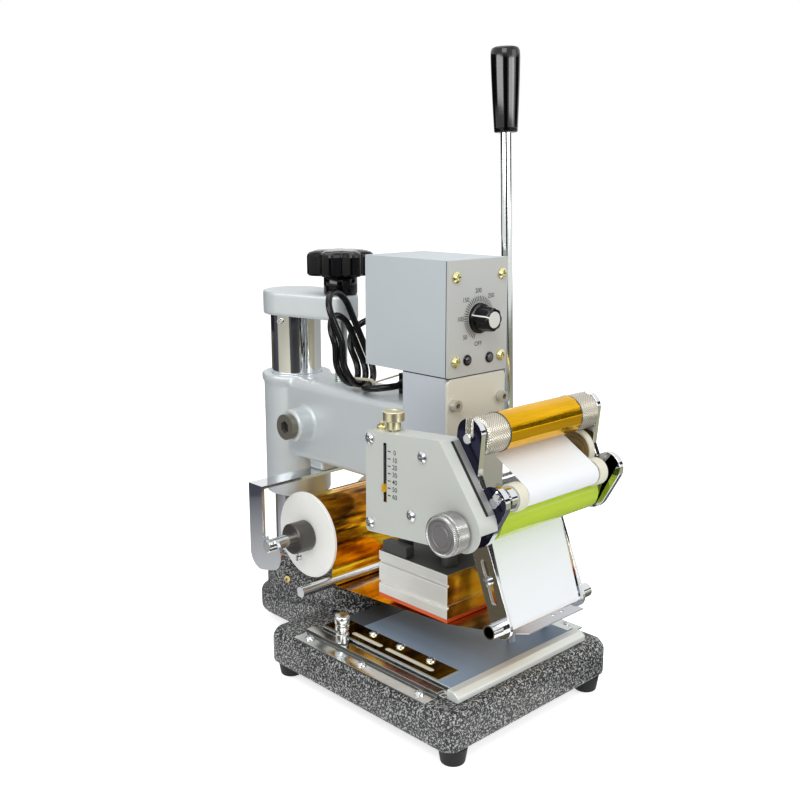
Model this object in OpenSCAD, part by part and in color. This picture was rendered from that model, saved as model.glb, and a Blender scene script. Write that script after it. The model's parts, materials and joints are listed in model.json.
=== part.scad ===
/* [Base] */
// Width of the base slab
base_w = 210; // [200:1:240]
// Depth of the base slab
base_d = 236; // [228:1:260]
// Height of the base slab
base_h = 33; // [28:1:40]
// Corner radius of the slab in plan
base_corner = 12; // [8:1:20]
// Bevel of the slab's top edge
base_edge = 7; // [2:0.5:9]
// Thickness of the slab's deck
base_deck = 13; // [10:1:16]
// Thickness of the slab's side walls
base_wall = 10; // [8:1:14]
// Width of the tongue that carries the post
tongue_w = 84; // [76:1:96]
// Height of the tongue at its rear end
tongue_h = 19; // [14:1:24]
// Width of the raised pedestal
pedestal_w = 72; // [64:1:76]
// Rise of the pedestal above the slab
pedestal_rise = 22; // [14:1:24]
// Distance of the pedestal's nose behind the origin
pedestal_front = 75; // [70:1:84]
// Height of a rubber foot
foot_h = 15; // [10:1:20]
// Diameter of a foot where it meets the slab
foot_d = 25; // [20:1:30]
// Diameter of a foot where it stands
foot_tip_d = 20; // [16:1:24]
// Distance of a foot's centre from the slab's sides
foot_inset = 17; // [15:1:22]

/* [Post and height screw] */
// Diameter of the chrome post
post_d = 50; // [40:1:54]
// Distance of the post behind the origin
post_y = 201; // [196:1:206]
// Height of the underside of the post cap above the slab
cap_rise = 278; // [274:1:290]
// Thickness of the post cap
cap_t = 24; // [18:1:28]
// Radius of the cap round the post
cap_r = 32; // [29:1:36]
// Radius of the cap round the height screw
cap_nose_r = 17; // [12:0.5:18]
// Distance of the height screw in front of the post
screw_offset = 70; // [68:1:74]
// Diameter of the height screw
screw_d = 12; // [10:1:14]
// Diameter of the star knob
star_d = 64; // [50:1:70]
// Thickness of the star knob's grip
star_t = 24; // [16:1:28]
// Diameter of the star knob's hub
star_hub_d = 32; // [24:1:34]
// Length of the star knob's hub
star_hub_l = 18; // [14:1:22]
// Number of lobes on the star knob
star_lobes = 7; // [5:1:9]

/* [Table] */
// Width of a rail's foot flange
rail_flange = 16; // [12:1:18]
// Distance of a rail's outer edge from the slab's side
rail_inset = 1; // [0:0.5:3]
// Thickness of the rail sheet
rail_t = 1.5; // [1:0.1:2]
// Width of the lip over the carriage
rail_lip = 8; // [5:0.5:9]
// Length of a rail
rail_l = 168; // [150:1:175]
// Distance of the rails' centre in front of the origin
rail_shift = 4; // [2:1:8]
// Thickness of the carriage sheet
carriage_t = 3; // [2:0.5:4]
// Length of the carriage
carriage_l = 169; // [160:1:176]
// Thickness of the table plate
table_t = 4; // [3:0.5:6]
// Length of the table plate
table_l = 164; // [150:1:168]
// Depth of the bevelled front bar
bar_d = 12; // [8:1:16]
// Height of the front bar
bar_h = 8.5; // [7:0.5:10]
// Bevel of the front bar
bar_bevel = 3.5; // [2:0.5:5]
// Width of the gauge plate
gauge_w = 24; // [20:1:28]
// Length of the gauge plate
gauge_l = 146; // [130:1:150]
// Thickness of the gauge plate
gauge_t = 1; // [0.8:0.1:2]
// Width of a slot in the gauge plate
gauge_slot_w = 5; // [4:0.5:6]
// Length of the side lay plate
lay_l = 86; // [70:1:90]
// Depth of the side lay plate
lay_d = 30; // [24:1:32]
// Height of the side lay above the table plate
lay_rise = 15; // [10:0.5:18]
// Thickness of the side lay plate
lay_t = 1.2; // [1:0.1:2]
// Height of the table lock nut
lock_h = 26; // [18:1:30]
// Width of the table lock nut across its flats
lock_w = 12; // [10:0.5:14]

/* [Arm and head] */
// Radius of the sleeve round the post
sleeve_r = 33; // [30:0.5:35]
// Height of the sleeve's lower end above the slab
sleeve_rise = 95; // [90:1:104]
// Length of the sleeve
sleeve_l = 124; // [116:1:128]
// Half width of the arm beam
arm_half = 27; // [22:0.5:30]
// Height of the beam's underside above the slab
arm_rise = 138; // [134:1:140]
// Height of the beam
arm_h = 80; // [76:1:82]
// Roundness of the beam's edges
arm_round = 8; // [4:0.5:12]
// Width of the head and the control box
head_w = 72; // [68:1:76]
// Distance of the head's back behind the origin
head_back = 7.5; // [7:0.5:12]
// Depth of the ram housing
housing_d = 50; // [49:0.5:54]
// Height of the housing's underside above the slab
housing_rise = 124; // [118:1:128]
// Height of the ram housing
housing_h = 125; // [123:1:129]
// Thickness of the front plate
front_t = 3; // [2:0.5:4]
// Diameter of the clamp boss
boss_d = 32; // [28:1:36]
// Length of the clamp boss
boss_l = 18; // [12:1:22]

/* [Control box] */
// Depth of the control box
box_d = 98; // [94:1:104]
// Height of the control box
box_h = 96; // [90:1:100]
// Wall of the control box
box_wall = 1.5; // [1:0.1:2.5]
// Thickness of the control panel
panel_t = 3; // [2:0.5:4]
// Diameter of the dial knob
dial_d = 26; // [20:1:30]
// Length of the dial knob
dial_l = 17; // [14:1:24]
// Sideways place of the dial
dial_x = 0.5; // [-4:0.5:4]
// Height of the dial above the box's underside
dial_rise = 47; // [42:1:52]
// Diameter of a pilot lamp
lamp_d = 7; // [5:0.5:9]

/* [Lever] */
// Distance of the lever's plane from the middle
lever_x = 90; // [87:0.5:94]
// Distance of the lever shaft in front of the origin
pinion_front = 4.5; // [4:0.5:5]
// Height of the lever shaft above the slab
pinion_rise = 182; // [178:1:186]
// Diameter of the lever shaft
lever_shaft_d = 14; // [12:0.5:14.5]
// Diameter of the lever rod
lever_rod_d = 10; // [8:0.5:11]
// Length of the lever from shaft to tip
lever_l = 341; // [300:1:350]
// Lean of the lever at rest
lever_lean = 2.2; // [0:0.1:6]
// Length of the grip
grip_l = 73; // [60:1:90]
// Diameter of the grip at its top
grip_d = 26.5; // [22:0.5:30]
// Diameter of the grip at its bottom
grip_neck_d = 21; // [16:0.5:24]
// Teeth of the pinion
pinion_teeth = 12; // [11:1:13]
// Module of the pinion
pinion_module = 1.6; // [1.5:0.05:1.7]

/* [Ram and heater] */
// Width of the ram
ram_w = 28; // [22:1:30]
// Height of the ram's foot plate above the slab
ram_foot_rise = 99; // [97:1:102]
// Thickness of the ram's foot plate
ram_foot_t = 6; // [5:0.5:8]
// Length of the ram above its foot plate
ram_l = 109; // [104:1:112]
// Half width of the heater
heater_half = 45; // [40:0.5:47]
// Length of the heater
heater_l = 85; // [78:1:90]
// Distance of the heater's front face in front of the origin
heater_front = 56; // [52:1:60]
// Height of the heater block
heater_h = 28; // [24:1:30]
// Height of the die plate
die_h = 12; // [9:0.5:14]
// Depth of the grooves along the heater's sides
heater_groove = 2; // [1:0.5:4]
// Thickness of the silicone pad
pad_t = 3.5; // [2:0.5:5]
// Diameter of an insulating leg
leg_d = 14; // [10:0.5:16]
// Diameter of a cartridge heater
cartridge_d = 12.5; // [10:0.5:14]
// Height of the insulating blocks on the heater
insulator_h = 10; // [6:0.5:12]

/* [Foil feed] */
// Half width of the foil web
foil_half = 44.5; // [40:0.5:45]
// Distance of a bracket's inner face from the middle
bracket_x = 70; // [69:0.5:74]
// Thickness of a bracket
bracket_t = 5.5; // [4:0.5:6.5]
// Distance of the drive roller in front of the origin
drive_front = 113.5; // [111:0.5:116]
// Height of the drive roller above the slab
drive_rise = 150; // [149.2:0.2:152]
// Diameter of the drive roller
drive_d = 32; // [30:0.5:33]
// Diameter of the drive shaft
drive_shaft_d = 12; // [10:0.5:13]
// Half length of the drive roller
drive_half = 62; // [60:0.2:64.4]
// Slope of the line from drive roller to press roller
press_slope = 50; // [46:0.5:54]
// Diameter of the press roller's rings
press_d = 22.6; // [21:0.2:23.6]
// Diameter of the press roller's core
press_core_d = 19; // [16:0.5:20]
// Width of a ring
ring_w = 10; // [6:0.5:10.5]
// Diameter of the roller journals
journal_d = 8; // [6:0.5:9]
// Distance of the take-up roller in front of the origin
takeup_front = 106.5; // [105:0.5:108.5]
// Height of the take-up roller above the slab
takeup_rise = 217; // [215:0.2:217.8]
// Diameter of the take-up roller's knurled ends
takeup_d = 31; // [29.6:0.2:32]
// Half length of the take-up roller
takeup_half = 69.3; // [66:0.1:69.5]
// Diameter of the film wound on the take-up roller
film_d = 32.8; // [32:0.2:36]
// Diameter of the friction wheel
wheel_d = 36.4; // [36:0.2:38]
// Width of the friction wheel
wheel_w = 7; // [5:0.5:8]
// Depth of the feed casing
casing_d = 20; // [18.5:0.5:24]
// Wall of the feed casing
casing_wall = 1.5; // [1:0.1:2]
// Diameter of the hand knob
knob_d = 33; // [28:0.5:36]
// Length of the hand knob
knob_l = 18; // [12:0.5:20]
// Diameter of the feed screw
feed_d = 6; // [5:0.5:7]
// Distance of the feed screw in front of the origin
feed_front = 34; // [32:0.5:38]
// Width of the pointer's slot
pointer_slot_w = 3.4; // [3:0.1:4]
// Diameter of the front guide tube
tube_d = 12; // [10:0.5:13]
// Wall of the front guide tube
tube_wall = 1; // [0.8:0.1:2]
// Half length of the front guide tube
tube_half = 63.7; // [56:0.1:66]
// Distance of the guide tube in front of the origin
tube_front = 119.5; // [116:0.5:123]
// Height of the guide tube above the slab
tube_rise = 59.5; // [56:0.5:62]
// Thickness of a guide arm
guide_arm_t = 3; // [2:0.5:4]
// Thickness of the foil web
foil_t = 0.3; // [0.2:0.05:0.5]

/* [Foil supply] */
// Distance of the supply axle behind the origin
supply_y = 129; // [127:0.5:131]
// Height of the supply axle above the slab
supply_rise = 73; // [72:0.5:76]
// Diameter of the supply axle
supply_axle_d = 12; // [10:0.5:13]
// Diameter of a supply flange
flange_d = 84; // [78:1:88]
// Thickness of a supply flange
flange_t = 3; // [2:0.5:4]
// Diameter of the foil roll
roll_d = 74; // [60:1:74]
// Diameter of an axle collar
collar_d = 30; // [24:0.5:34]
// Length of an axle collar
collar_l = 19; // [14:0.5:24]
// Distance of a yoke cheek from the middle
yoke_x = 90; // [86:0.5:94]
// Thickness of the yoke sheet
yoke_t = 3; // [2:0.5:4]
// Width of the yoke's strap
yoke_w = 21; // [16:0.5:24]
// Drop of the yoke's strap below the beam
yoke_drop = 10; // [8:0.5:12]
// Diameter of the rear guide rod
rear_rod_d = 10; // [8:0.5:10]
// Distance of the rear guide rod behind the origin
rear_rod_y = 91.5; // [90:0.5:93]
// Height of the rear guide rod above the slab
rear_rod_rise = 36; // [35.5:0.5:38]

/* [Cord] */
// Diameter of the mains lead
cord_d = 6.2; // [5.6:0.1:6.2]

/* [Hidden] */
$fn = 48;

// Clearances
run_fit = 0.06;
slide_fit = 0.3;
roll_gap = 0.3;
cut = 0.1;

// Heights and places that many pieces share
deck_z = foot_h + base_h;
post_r = post_d / 2;
screw_y = post_y - screw_offset;
cap_z = deck_z + cap_rise;
star_z = cap_z + cap_t + slide_fit;
rail_top = deck_z + slide_fit + carriage_t + slide_fit + rail_t;
rail_x = base_w / 2 - rail_inset;
web_x = rail_x - rail_flange;
carriage_half = web_x - slide_fit;
carriage_z = deck_z + slide_fit;
carriage_front = -rail_shift - carriage_l / 2 - 5.5;
table_z = carriage_z + carriage_t;
table_half = web_x - rail_lip - 2;
table_top = table_z + table_t;
arm_z = deck_z + arm_rise;
arm_top = arm_z + arm_h;
head_half = head_w / 2;
housing_front = head_back - housing_d;
plate_front = housing_front - front_t;
housing_z = deck_z + housing_rise;
box_z = housing_z + housing_h;
box_top = box_z + box_h;
box_front = plate_front + 2.5;
box_back = box_front + box_d;
panel_front = box_front - panel_t;
dial_z = box_z + dial_rise;

// Rack and pinion
pinion_y = -pinion_front;
pinion_z = deck_z + pinion_rise;
pinion_r = pinion_teeth * pinion_module / 2;
tooth_add = 0.6 * pinion_module;
tooth_ded = 1.0 * pinion_module;
tooth_play = 0.3;
tooth_angle = 20;
base_circle = pinion_r * cos(tooth_angle);
rack_y = pinion_y - pinion_r;
ram_back = rack_y + tooth_add;
ram_front = housing_front + slide_fit;
ram_foot_z = deck_z + ram_foot_rise;
ram_z = ram_foot_z + ram_foot_t;
ram_top = ram_z + ram_l;
ram_y = (ram_front + ram_back) / 2;

// Heater stack, from the ram's foot down
heater_back = heater_l - heater_front;
heater_y = heater_back - heater_l / 2;
leg_h = 15;
heater_top = ram_foot_z - leg_h;
heater_z = heater_top - heater_h;
die_z = heater_z - die_h;
pad_z = die_z - pad_t;
leg_x = 26;
leg_front = heater_y - 26.5;
leg_back = heater_y + 27;

// Foil feed rollers in the plane of depth and height
drive_c = [-drive_front, deck_z + drive_rise];
drive_r = drive_d / 2;
press_r = press_d / 2;
press_dir = [-cos(press_slope), sin(press_slope)];
press_c = drive_c + (drive_r + press_r + roll_gap) * press_dir;
takeup_c = [-takeup_front, deck_z + takeup_rise];
takeup_r = takeup_d / 2;
wheel_r = wheel_d / 2;
wheel_c = third_corner(drive_c, drive_r + wheel_r + roll_gap, takeup_c, takeup_r + wheel_r + roll_gap);
wheel_x0 = drive_half - 3.6;
tube_c = [-tube_front, deck_z + tube_rise];
tie_c = drive_c + [25.5, -12];
spacer_y = housing_front + 8.5;
spacer_low = housing_z + 18;
spacer_high = housing_z + 68;
bracket_out = bracket_x + bracket_t;
casing_x = bracket_out + casing_d;
casing_back = head_back - 18.5;
casing_top = deck_z + 210.5;
casing_low = deck_z + 125.1;
feed_x = bracket_out + casing_d / 2;
feed_low = casing_low + 21.9;
feed_high = casing_top - 4;
pointer_z = casing_top - 44;
pointer_slot_low = casing_top - 56;
pointer_slot_high = casing_top - 7;
lug_t = 6;

// Foil supply
supply_c = [supply_y, deck_z + supply_rise];
rear_rod_c = [rear_rod_y, deck_z + rear_rod_rise];
yoke_top = arm_z - yoke_drop;
yoke_y0 = supply_y + 11;
flange_x = foil_half + 0.5;
rear_rod_left = yoke_x - 4;

// Third corner of a triangle on two centres with two side lengths, on the far side
function third_corner(a, ra, b, rb) =
    let (d = norm(b - a), e = (b - a) / d, s = (ra * ra - rb * rb + d * d) / (2 * d))
    let (h = sqrt(ra * ra - s * s))
    a + s * e + h * [e[1], -e[0]];

function unit(v) = v / norm(v);
function polar(c, r, a) = c + r * [cos(a), sin(a)];

// Angle of the shared normal where a web passes from one wheel to the next
function web_angle(a, b) =
    let (d = b[0] - a[0], q = a[1] * a[2] - b[1] * b[2])
    atan2(d[1], d[0]) - acos(q / norm(d));

// Points round one wheel between the angles where the web meets and leaves it
function web_arc(w, a0, a1, steps) =
    let (turn = w[2] > 0 ? (a1 - a0 + 720) % 360 : -((a0 - a1 + 720) % 360))
    [for (i = [0:steps]) polar(w[0], w[1] * w[2], a0 + turn * i / steps)];

// Sides of a path moved sideways by a distance
function path_normal(p, i) =
    let (a = p[max(i - 1, 0)], b = p[min(i + 1, len(p) - 1)], t = unit(b - a))
    [-t[1], t[0]];
function path_offset(p, d) = [for (i = [0:len(p) - 1]) p[i] + d * path_normal(p, i)];

// Wheels that guide the web: centre, radius of the web's middle, sense of turning
web_gap = roll_gap + foil_t / 2;
web_wheels = [
    [supply_c, roll_d / 2 + web_gap, 1],
    [rear_rod_c, rear_rod_d / 2 + 0.05 + foil_t / 2, -1],
    [[-heater_front, pad_z], web_gap, -1],
    [tube_c, tube_d / 2 + 0.05 + foil_t / 2, -1],
    [drive_c, drive_r + web_gap, 1],
    [press_c, press_core_d / 2 + web_gap + 0.1, -1],
    [takeup_c, film_d / 2 + web_gap, 1]];
web_last = len(web_wheels) - 1;
web_turns = [for (i = [0:web_last - 1]) web_angle(web_wheels[i], web_wheels[i + 1])];
web_path = [
    each web_arc(web_wheels[0], web_turns[0] - 8, web_turns[0], 1),
    for (i = [1:web_last - 1]) each web_arc(web_wheels[i], web_turns[i - 1], web_turns[i], 6),
    each web_arc(web_wheels[web_last], web_turns[web_last - 1], web_turns[web_last - 1] + 8, 1)];

// Mains lead: from the gland in a free bend to the tied hank
cord_r = cord_d / 2;
gland_c = [20, box_z + 33];
gland_l = 23;
cord_lead_points = [
    [20, 78, 330], [20, 82, 330], [19.4, 90.4, 329.7], [17.7, 97.3, 329], [15.2, 102.8, 327.7],
    [12, 106.9, 326], [8.6, 109.9, 323.7], [5, 111.8, 321], [1.5, 112.7, 317.8], [-1.6, 112.8, 314.2],
    [-4, 112.1, 310.1], [-5.6, 110.8, 305.5], [-6.1, 109.1, 300.5], [-5.25, 106.97, 295.14]];

// Hank: a low and a high loop side by side in a leaning plane, then the short run to the plug
hank_c = [-15, 83.6, 289.4];
hank_u = unit([-22, 28.5, 89.7]);
hank_h = unit([0.92, 0.38, 0] - ([0.92, 0.38, 0] * hank_u) * hank_u);
hank_n = cross(hank_u, hank_h);
hank_r = 19;
hank_step = 7.3;
hank_layers = [2 * hank_step, hank_step, 0];
hank_floors = [6, 2.9, 0];
hank_tops = [32, 52.5];
hank_tail = [[-18.4, 74.5, 270.9], [-24.3, 70.3, 271.2], [-28.2, 64.1, 271.9], [-29.4, 57, 272.9],
             [-27.9, 49.9, 274], [-23.8, 43.9, 275], [-17.7, 40, 275.7], [-10.6, 38.6, 276]];

function hank_point(n, u, h) = hank_c + n * hank_n + u * hank_u + h * hank_h;
function hank_fold_low(k, a) =
    hank_point(hank_layers[k], hank_floors[k] - hank_r * sin(a), hank_r * cos(a));
function hank_fold_high(k, a) =
    hank_point(hank_layers[k + 1], hank_tops[k] + hank_r * sin(a), -hank_r * cos(a));
// Left run of a loop, which eases over to the next layer below the low loop's top
function hank_rise(k) = [for (i = [0:4])
    hank_point(hank_layers[k] - hank_step * (1 - cos(36 * i)) / 2,
               hank_floors[0] + (hank_tops[0] - hank_floors[0]) * i / 5, -hank_r)];
hank_points = [
    hank_point(hank_layers[0], 10, hank_r), hank_point(hank_layers[0], 8, hank_r),
    for (i = [0:7]) hank_fold_low(0, 22.5 * i), each hank_rise(0),
    for (i = [0:7]) hank_fold_high(0, 22.5 * i),
    for (i = [0:4]) hank_point(hank_step, hank_tops[0] + (hank_floors[1] - hank_tops[0]) * i / 5, hank_r),
    for (i = [0:8]) hank_fold_low(1, 22.5 * i), each hank_rise(1),
    for (i = [0:3]) hank_point(0, hank_tops[0] + (hank_tops[1] - hank_tops[0]) * i / 4, -hank_r),
    for (i = [0:7]) hank_fold_high(1, 22.5 * i),
    for (i = [0:7]) hank_point(0, hank_tops[1] * (1 - i / 8), hank_r),
    for (i = [0:4]) hank_fold_low(2, 22.5 * i),
    each hank_tail];

// Least clear distance between stretches of a tube that are not neighbours
function self_gap(p, r, skip) =
    min([for (i = [0:len(p) - 1], j = [i + skip:1:len(p) - 1]) norm(p[i] - p[j])]) - 2 * r;
function path_length(p) = len(p) < 2 ? 0 : [for (i = [1:len(p) - 1]) norm(p[i] - p[i - 1])]
    * [for (i = [1:len(p) - 1]) 1];

// Return spring inside the head
spring_wire = 1.6;
spring_r = 8;
spring_curls = 8;
spring_low = ram_top + spring_wire / 2;
spring_high = box_z - spring_wire / 2 - slide_fit;
spring_points = [
    for (i = [0:spring_curls * 8])
        let (a = 45 * i)
        [spring_r * cos(a), ram_y + spring_r * sin(a),
         spring_low + (spring_high - spring_low) * i / (spring_curls * 8)]];

echo(hank_gap = self_gap(hank_points, cord_r, 6), spring_gap = self_gap(spring_points, spring_wire / 2, 4));
echo(cord_length = path_length(cord_lead_points) + path_length(hank_points));

// Shapes that repeat

module rod_x(x0, x1, r, c) {
    translate([x0, c[0], c[1]]) rotate([0, 90, 0]) cylinder(r = r, h = x1 - x0);
}

module rod_y(y0, y1, r, x, z) {
    translate([x, y0, z]) rotate([-90, 0, 0]) cylinder(r = r, h = y1 - y0);
}

module tube_x(x0, x1, r_out, r_in, c) {
    difference() {
        rod_x(x0, x1, r_out, c);
        rod_x(x0 - cut, x1 + cut, r_in, c);
    }
}

module plate_x(x0, x1) {
    translate([x0, 0, 0]) rotate([90, 0, 90]) linear_extrude(x1 - x0) children();
}

module block(x0, x1, y0, y1, z0, z1) {
    translate([x0, y0, z0]) cube([x1 - x0, y1 - y0, z1 - z0]);
}

module both_sides() {
    children();
    mirror([1, 0, 0]) children();
}

module at(c, r) {
    translate(c) circle(r = r, $fn = 32);
}

module link(a, ra, b, rb) {
    hull() {
        at(a, ra);
        at(b, rb);
    }
}

module slot(a, b, w) {
    link(a, w / 2, b, w / 2);
}

module hex_socket(d, depth) {
    translate([0, 0, -depth]) cylinder(d = d, h = depth + cut, $fn = 6);
}

module socket_screw(d, h) {
    difference() {
        cylinder(d = d, h = h);
        translate([0, 0, h]) hex_socket(d * 0.5, h * 0.6);
    }
}

module pan_screw(d, h) {
    difference() {
        union() {
            cylinder(d = d, h = h * 0.5);
            translate([0, 0, h * 0.5]) cylinder(d1 = d, d2 = d * 0.6, h = h * 0.5);
        }
        translate([-d * 0.28, -d * 0.06, h * 0.55]) cube([d * 0.56, d * 0.12, h]);
        translate([-d * 0.06, -d * 0.28, h * 0.55]) cube([d * 0.12, d * 0.56, h]);
    }
}

// Tube swept along points: rings turn with the path and never twist
function sweep_tangents(p) =
    [for (i = [0:len(p) - 1]) unit(p[min(i + 1, len(p) - 1)] - p[max(i - 1, 0)])];
function carry(n, t) = unit(n - (n * t) * t);
function sweep_normals(t, n0) =
    [for (i = 0, n = carry(n0, t[0]); i < len(t); i = i + 1, n = i < len(t) ? carry(n, t[i]) : n) n];

module sweep(p, r, sides, n0) {
    t = sweep_tangents(p);
    n = sweep_normals(t, n0);
    last = len(p) - 1;
    points = [for (i = [0:last], s = [0:sides - 1])
        let (a = 360 * s / sides)
        p[i] + r * (cos(a) * n[i] + sin(a) * cross(t[i], n[i]))];
    walls = [for (i = [0:last - 1], s = [0:sides - 1])
        let (q = (s + 1) % sides, a = i * sides + s, b = i * sides + q)
        each [[a, b + sides, b], [a, a + sides, b + sides]]];
    caps = [for (s = [1:sides - 2]) each [[0, s, s + 1],
        [last * sides, last * sides + s + 1, last * sides + s]]];
    polyhedron(points, concat(walls, caps), convexity = 8);
}

// Base and post

module slab(w, d, h, corner, edge) {
    hull() for (x = [-1, 1], y = [-1, 1]) translate([x * (w / 2 - corner), y * (d / 2 - corner), 0]) {
        cylinder(r = corner, h = h - edge, $fn = 32);
        cylinder(r = corner - edge * 0.7, h = h, $fn = 32);
    }
}

module at_feet() {
    for (x = [-1, 1], y = [-1, 1])
        translate([x * (base_w / 2 - foot_inset), y * (base_d / 2 - foot_inset + 4), 0]) children();
}

module around_post(a) {
    translate([0, post_y, 0]) rotate(a) children();
}

set_screw_a = 214;
set_screw_z = deck_z + 10.5;
set_screw_r = 4;
cap_screw_a = 196;
socket_r = post_r + 10;

module tongue_side() {
    y0 = base_d / 2 - 18;
    polygon([[y0, foot_h], [y0, deck_z + 5], [post_y - 11, foot_h + tongue_h],
             [post_y, foot_h + tongue_h], [post_y, foot_h]]);
}

module base_casting() {
    top = deck_z + pedestal_rise;
    half = pedestal_w / 2;
    nose = pedestal_front + half;
    color("#3a3a3c") difference() {
        union() {
            difference() {
                translate([0, 0, foot_h]) slab(base_w, base_d, base_h, base_corner, base_edge);
                difference() {
                    block(-base_w / 2 + base_wall, base_w / 2 - base_wall, -base_d / 2 + base_wall,
                          base_d / 2 - base_wall, foot_h - cut, deck_z - base_deck);
                    at_feet() cylinder(d = foot_d, h = deck_z);
                }
            }
            plate_x(-tongue_w / 2, tongue_w / 2) tongue_side();
            translate([0, post_y, foot_h]) cylinder(d = tongue_w, h = tongue_h);
            block(-half, half, nose, post_y, deck_z - base_deck, top);
            translate([0, nose, deck_z - base_deck]) cylinder(r = half, h = top - deck_z + base_deck);
            translate([0, post_y, foot_h]) cylinder(r = socket_r, h = top + 8 - foot_h);
        }
        translate([0, post_y, foot_h + 5]) cylinder(r = post_r, h = cap_z);
        around_post(set_screw_a) translate([post_r - 1, 0, set_screw_z]) rotate([0, 90, 0])
            cylinder(r = set_screw_r, h = post_r);
    }
}

module rubber_feet() {
    color("#151515") at_feet() cylinder(d1 = foot_tip_d, d2 = foot_d, h = foot_h);
}

module post() {
    color("#d8dade") translate([0, post_y, foot_h + 5])
        cylinder(r = post_r, h = cap_z + cap_t / 2 - foot_h - 5);
}

module post_cap() {
    color("#b9bcc0") difference() {
        translate([0, 0, cap_z]) linear_extrude(cap_t) link([0, post_y], cap_r, [0, screw_y], cap_nose_r);
        translate([0, post_y, cap_z - cut]) cylinder(r = post_r, h = cap_t / 2 + cut);
        translate([0, screw_y, cap_z - cut]) cylinder(d = screw_d + 2 * run_fit, h = cap_t + 2 * cut);
    }
}

module base_screws() {
    rail_screw_y = [-rail_shift - rail_l * 0.42, -rail_shift, -rail_shift + rail_l * 0.42];
    color("#cfcfd2") {
        both_sides() for (y = rail_screw_y)
            translate([rail_x - rail_flange / 2 - 0.5, y, deck_z + rail_t]) pan_screw(8.5, 2.6);
        around_post(cap_screw_a) translate([post_r, 0, cap_z - 6]) rotate([0, 90, 0]) socket_screw(5, 3);
    }
    color("#caa545") around_post(set_screw_a) translate([post_r, 0, set_screw_z]) rotate([0, 90, 0])
        socket_screw(2 * set_screw_r, socket_r - post_r + 1);
}

module rail_profile() {
    lip_z = rail_top - rail_t;
    polygon([[rail_x, deck_z], [rail_x, deck_z + rail_t], [web_x + rail_t, deck_z + rail_t],
             [web_x + rail_t, rail_top], [web_x - rail_lip, rail_top], [web_x - rail_lip, lip_z],
             [web_x, lip_z], [web_x, deck_z]]);
}

module slide_rails() {
    color("#c4c6c8") both_sides()
        translate([0, rail_l / 2 - rail_shift, 0]) rotate([90, 0, 0]) linear_extrude(rail_l) rail_profile();
}

// Sliding table

module table_carriage() {
    color("#b5b8bb") block(-carriage_half, carriage_half, carriage_front, carriage_front + carriage_l,
                           carriage_z, table_z);
}

module table_plate() {
    color("#7e8792") block(-table_half, table_half, carriage_front, carriage_front + table_l,
                           table_z, table_top);
}

module front_bar() {
    y0 = carriage_front - bar_d;
    top = carriage_z + bar_h;
    color("#d2d1c8") plate_x(-table_half - 6, table_half + 6)
        polygon([[y0, carriage_z], [y0, top - bar_bevel], [y0 + bar_bevel * 1.4, top],
                 [carriage_front, top], [carriage_front, carriage_z]]);
}

gauge_x0 = -table_half + 1.5;
gauge_y0 = carriage_front + 17;
gauge_slot_x = gauge_x0 + 8;

module gauge_plate() {
    color("#c8cacc") {
        difference() {
            block(gauge_x0, gauge_x0 + gauge_w, gauge_y0, gauge_y0 + gauge_l,
                  table_top, table_top + gauge_t);
            translate([0, 0, table_top - cut]) linear_extrude(gauge_t + 2 * cut) {
                slot([gauge_slot_x, gauge_y0 + 16], [gauge_slot_x, gauge_y0 + 69], gauge_slot_w);
                slot([gauge_slot_x, gauge_y0 + 79], [gauge_slot_x, gauge_y0 + 113], gauge_slot_w);
            }
        }
        for (y = [28, 65, 100])
            translate([gauge_x0 + gauge_w - 4.5, gauge_y0 + y, table_top + gauge_t]) pan_screw(8, 2.4);
    }
}

module side_lay() {
    x0 = 12;
    y0 = carriage_front + 1;
    z0 = table_top + lay_rise;
    color("#d9dade") {
        difference() {
            translate([0, 0, z0]) linear_extrude(lay_t)
                polygon([[x0, y0 + lay_d], [x0, y0 + 8], [x0 + 8, y0], [x0 + lay_l, y0],
                         [x0 + lay_l, y0 + lay_d]]);
            for (x = [x0 + 54, x0 + 66])
                translate([x, y0 + 10, z0 - cut]) cylinder(d = 4, h = lay_t + 2 * cut);
        }
        for (x = [x0 + 12, table_half - 6])
            translate([x, y0 + lay_d - 7, table_top]) cylinder(d = 8, h = lay_rise);
    }
}

lock_c = [-web_x + rail_lip / 2, rail_l / 2 - rail_shift - 45];

module lock_nut() {
    z0 = rail_top + slide_fit;
    color("#c9cbce") translate([lock_c[0], lock_c[1], z0]) {
        cylinder(d = lock_w * 0.72, h = lock_h);
        translate([0, 0, lock_h - 10]) cylinder(d = lock_w * 1.15, h = 10, $fn = 6);
        cylinder(d = lock_w, h = lock_h * 0.35);
    }
}

// Height screw

module height_screw() {
    color("#c9ccd0") translate([0, screw_y, arm_z + 12])
        cylinder(d = screw_d, h = star_z + 14 - arm_z - 12);
}

module star_knob() {
    grip_z = star_z + star_hub_l;
    scallop_r = 7;
    color("#101012") translate([0, screw_y, 0]) difference() {
        union() {
            translate([0, 0, star_z]) cylinder(d = star_hub_d, h = star_hub_l);
            translate([0, 0, grip_z]) cylinder(d = star_d, h = star_t * 0.75);
            translate([0, 0, grip_z + star_t * 0.75])
                cylinder(d1 = star_d, d2 = star_d * 0.6, h = star_t * 0.25);
        }
        for (i = [0:star_lobes - 1]) rotate(360 * (i + 0.5) / star_lobes)
            translate([star_d / 2 + scallop_r * 0.35, 0, grip_z - cut])
                cylinder(r = scallop_r, h = star_t + 2 * cut);
        translate([0, 0, star_z - cut]) cylinder(d = screw_d, h = 14 + cut);
    }
}

// Arm and head

clamp_c = [post_y - 46, deck_z + 176];

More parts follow.
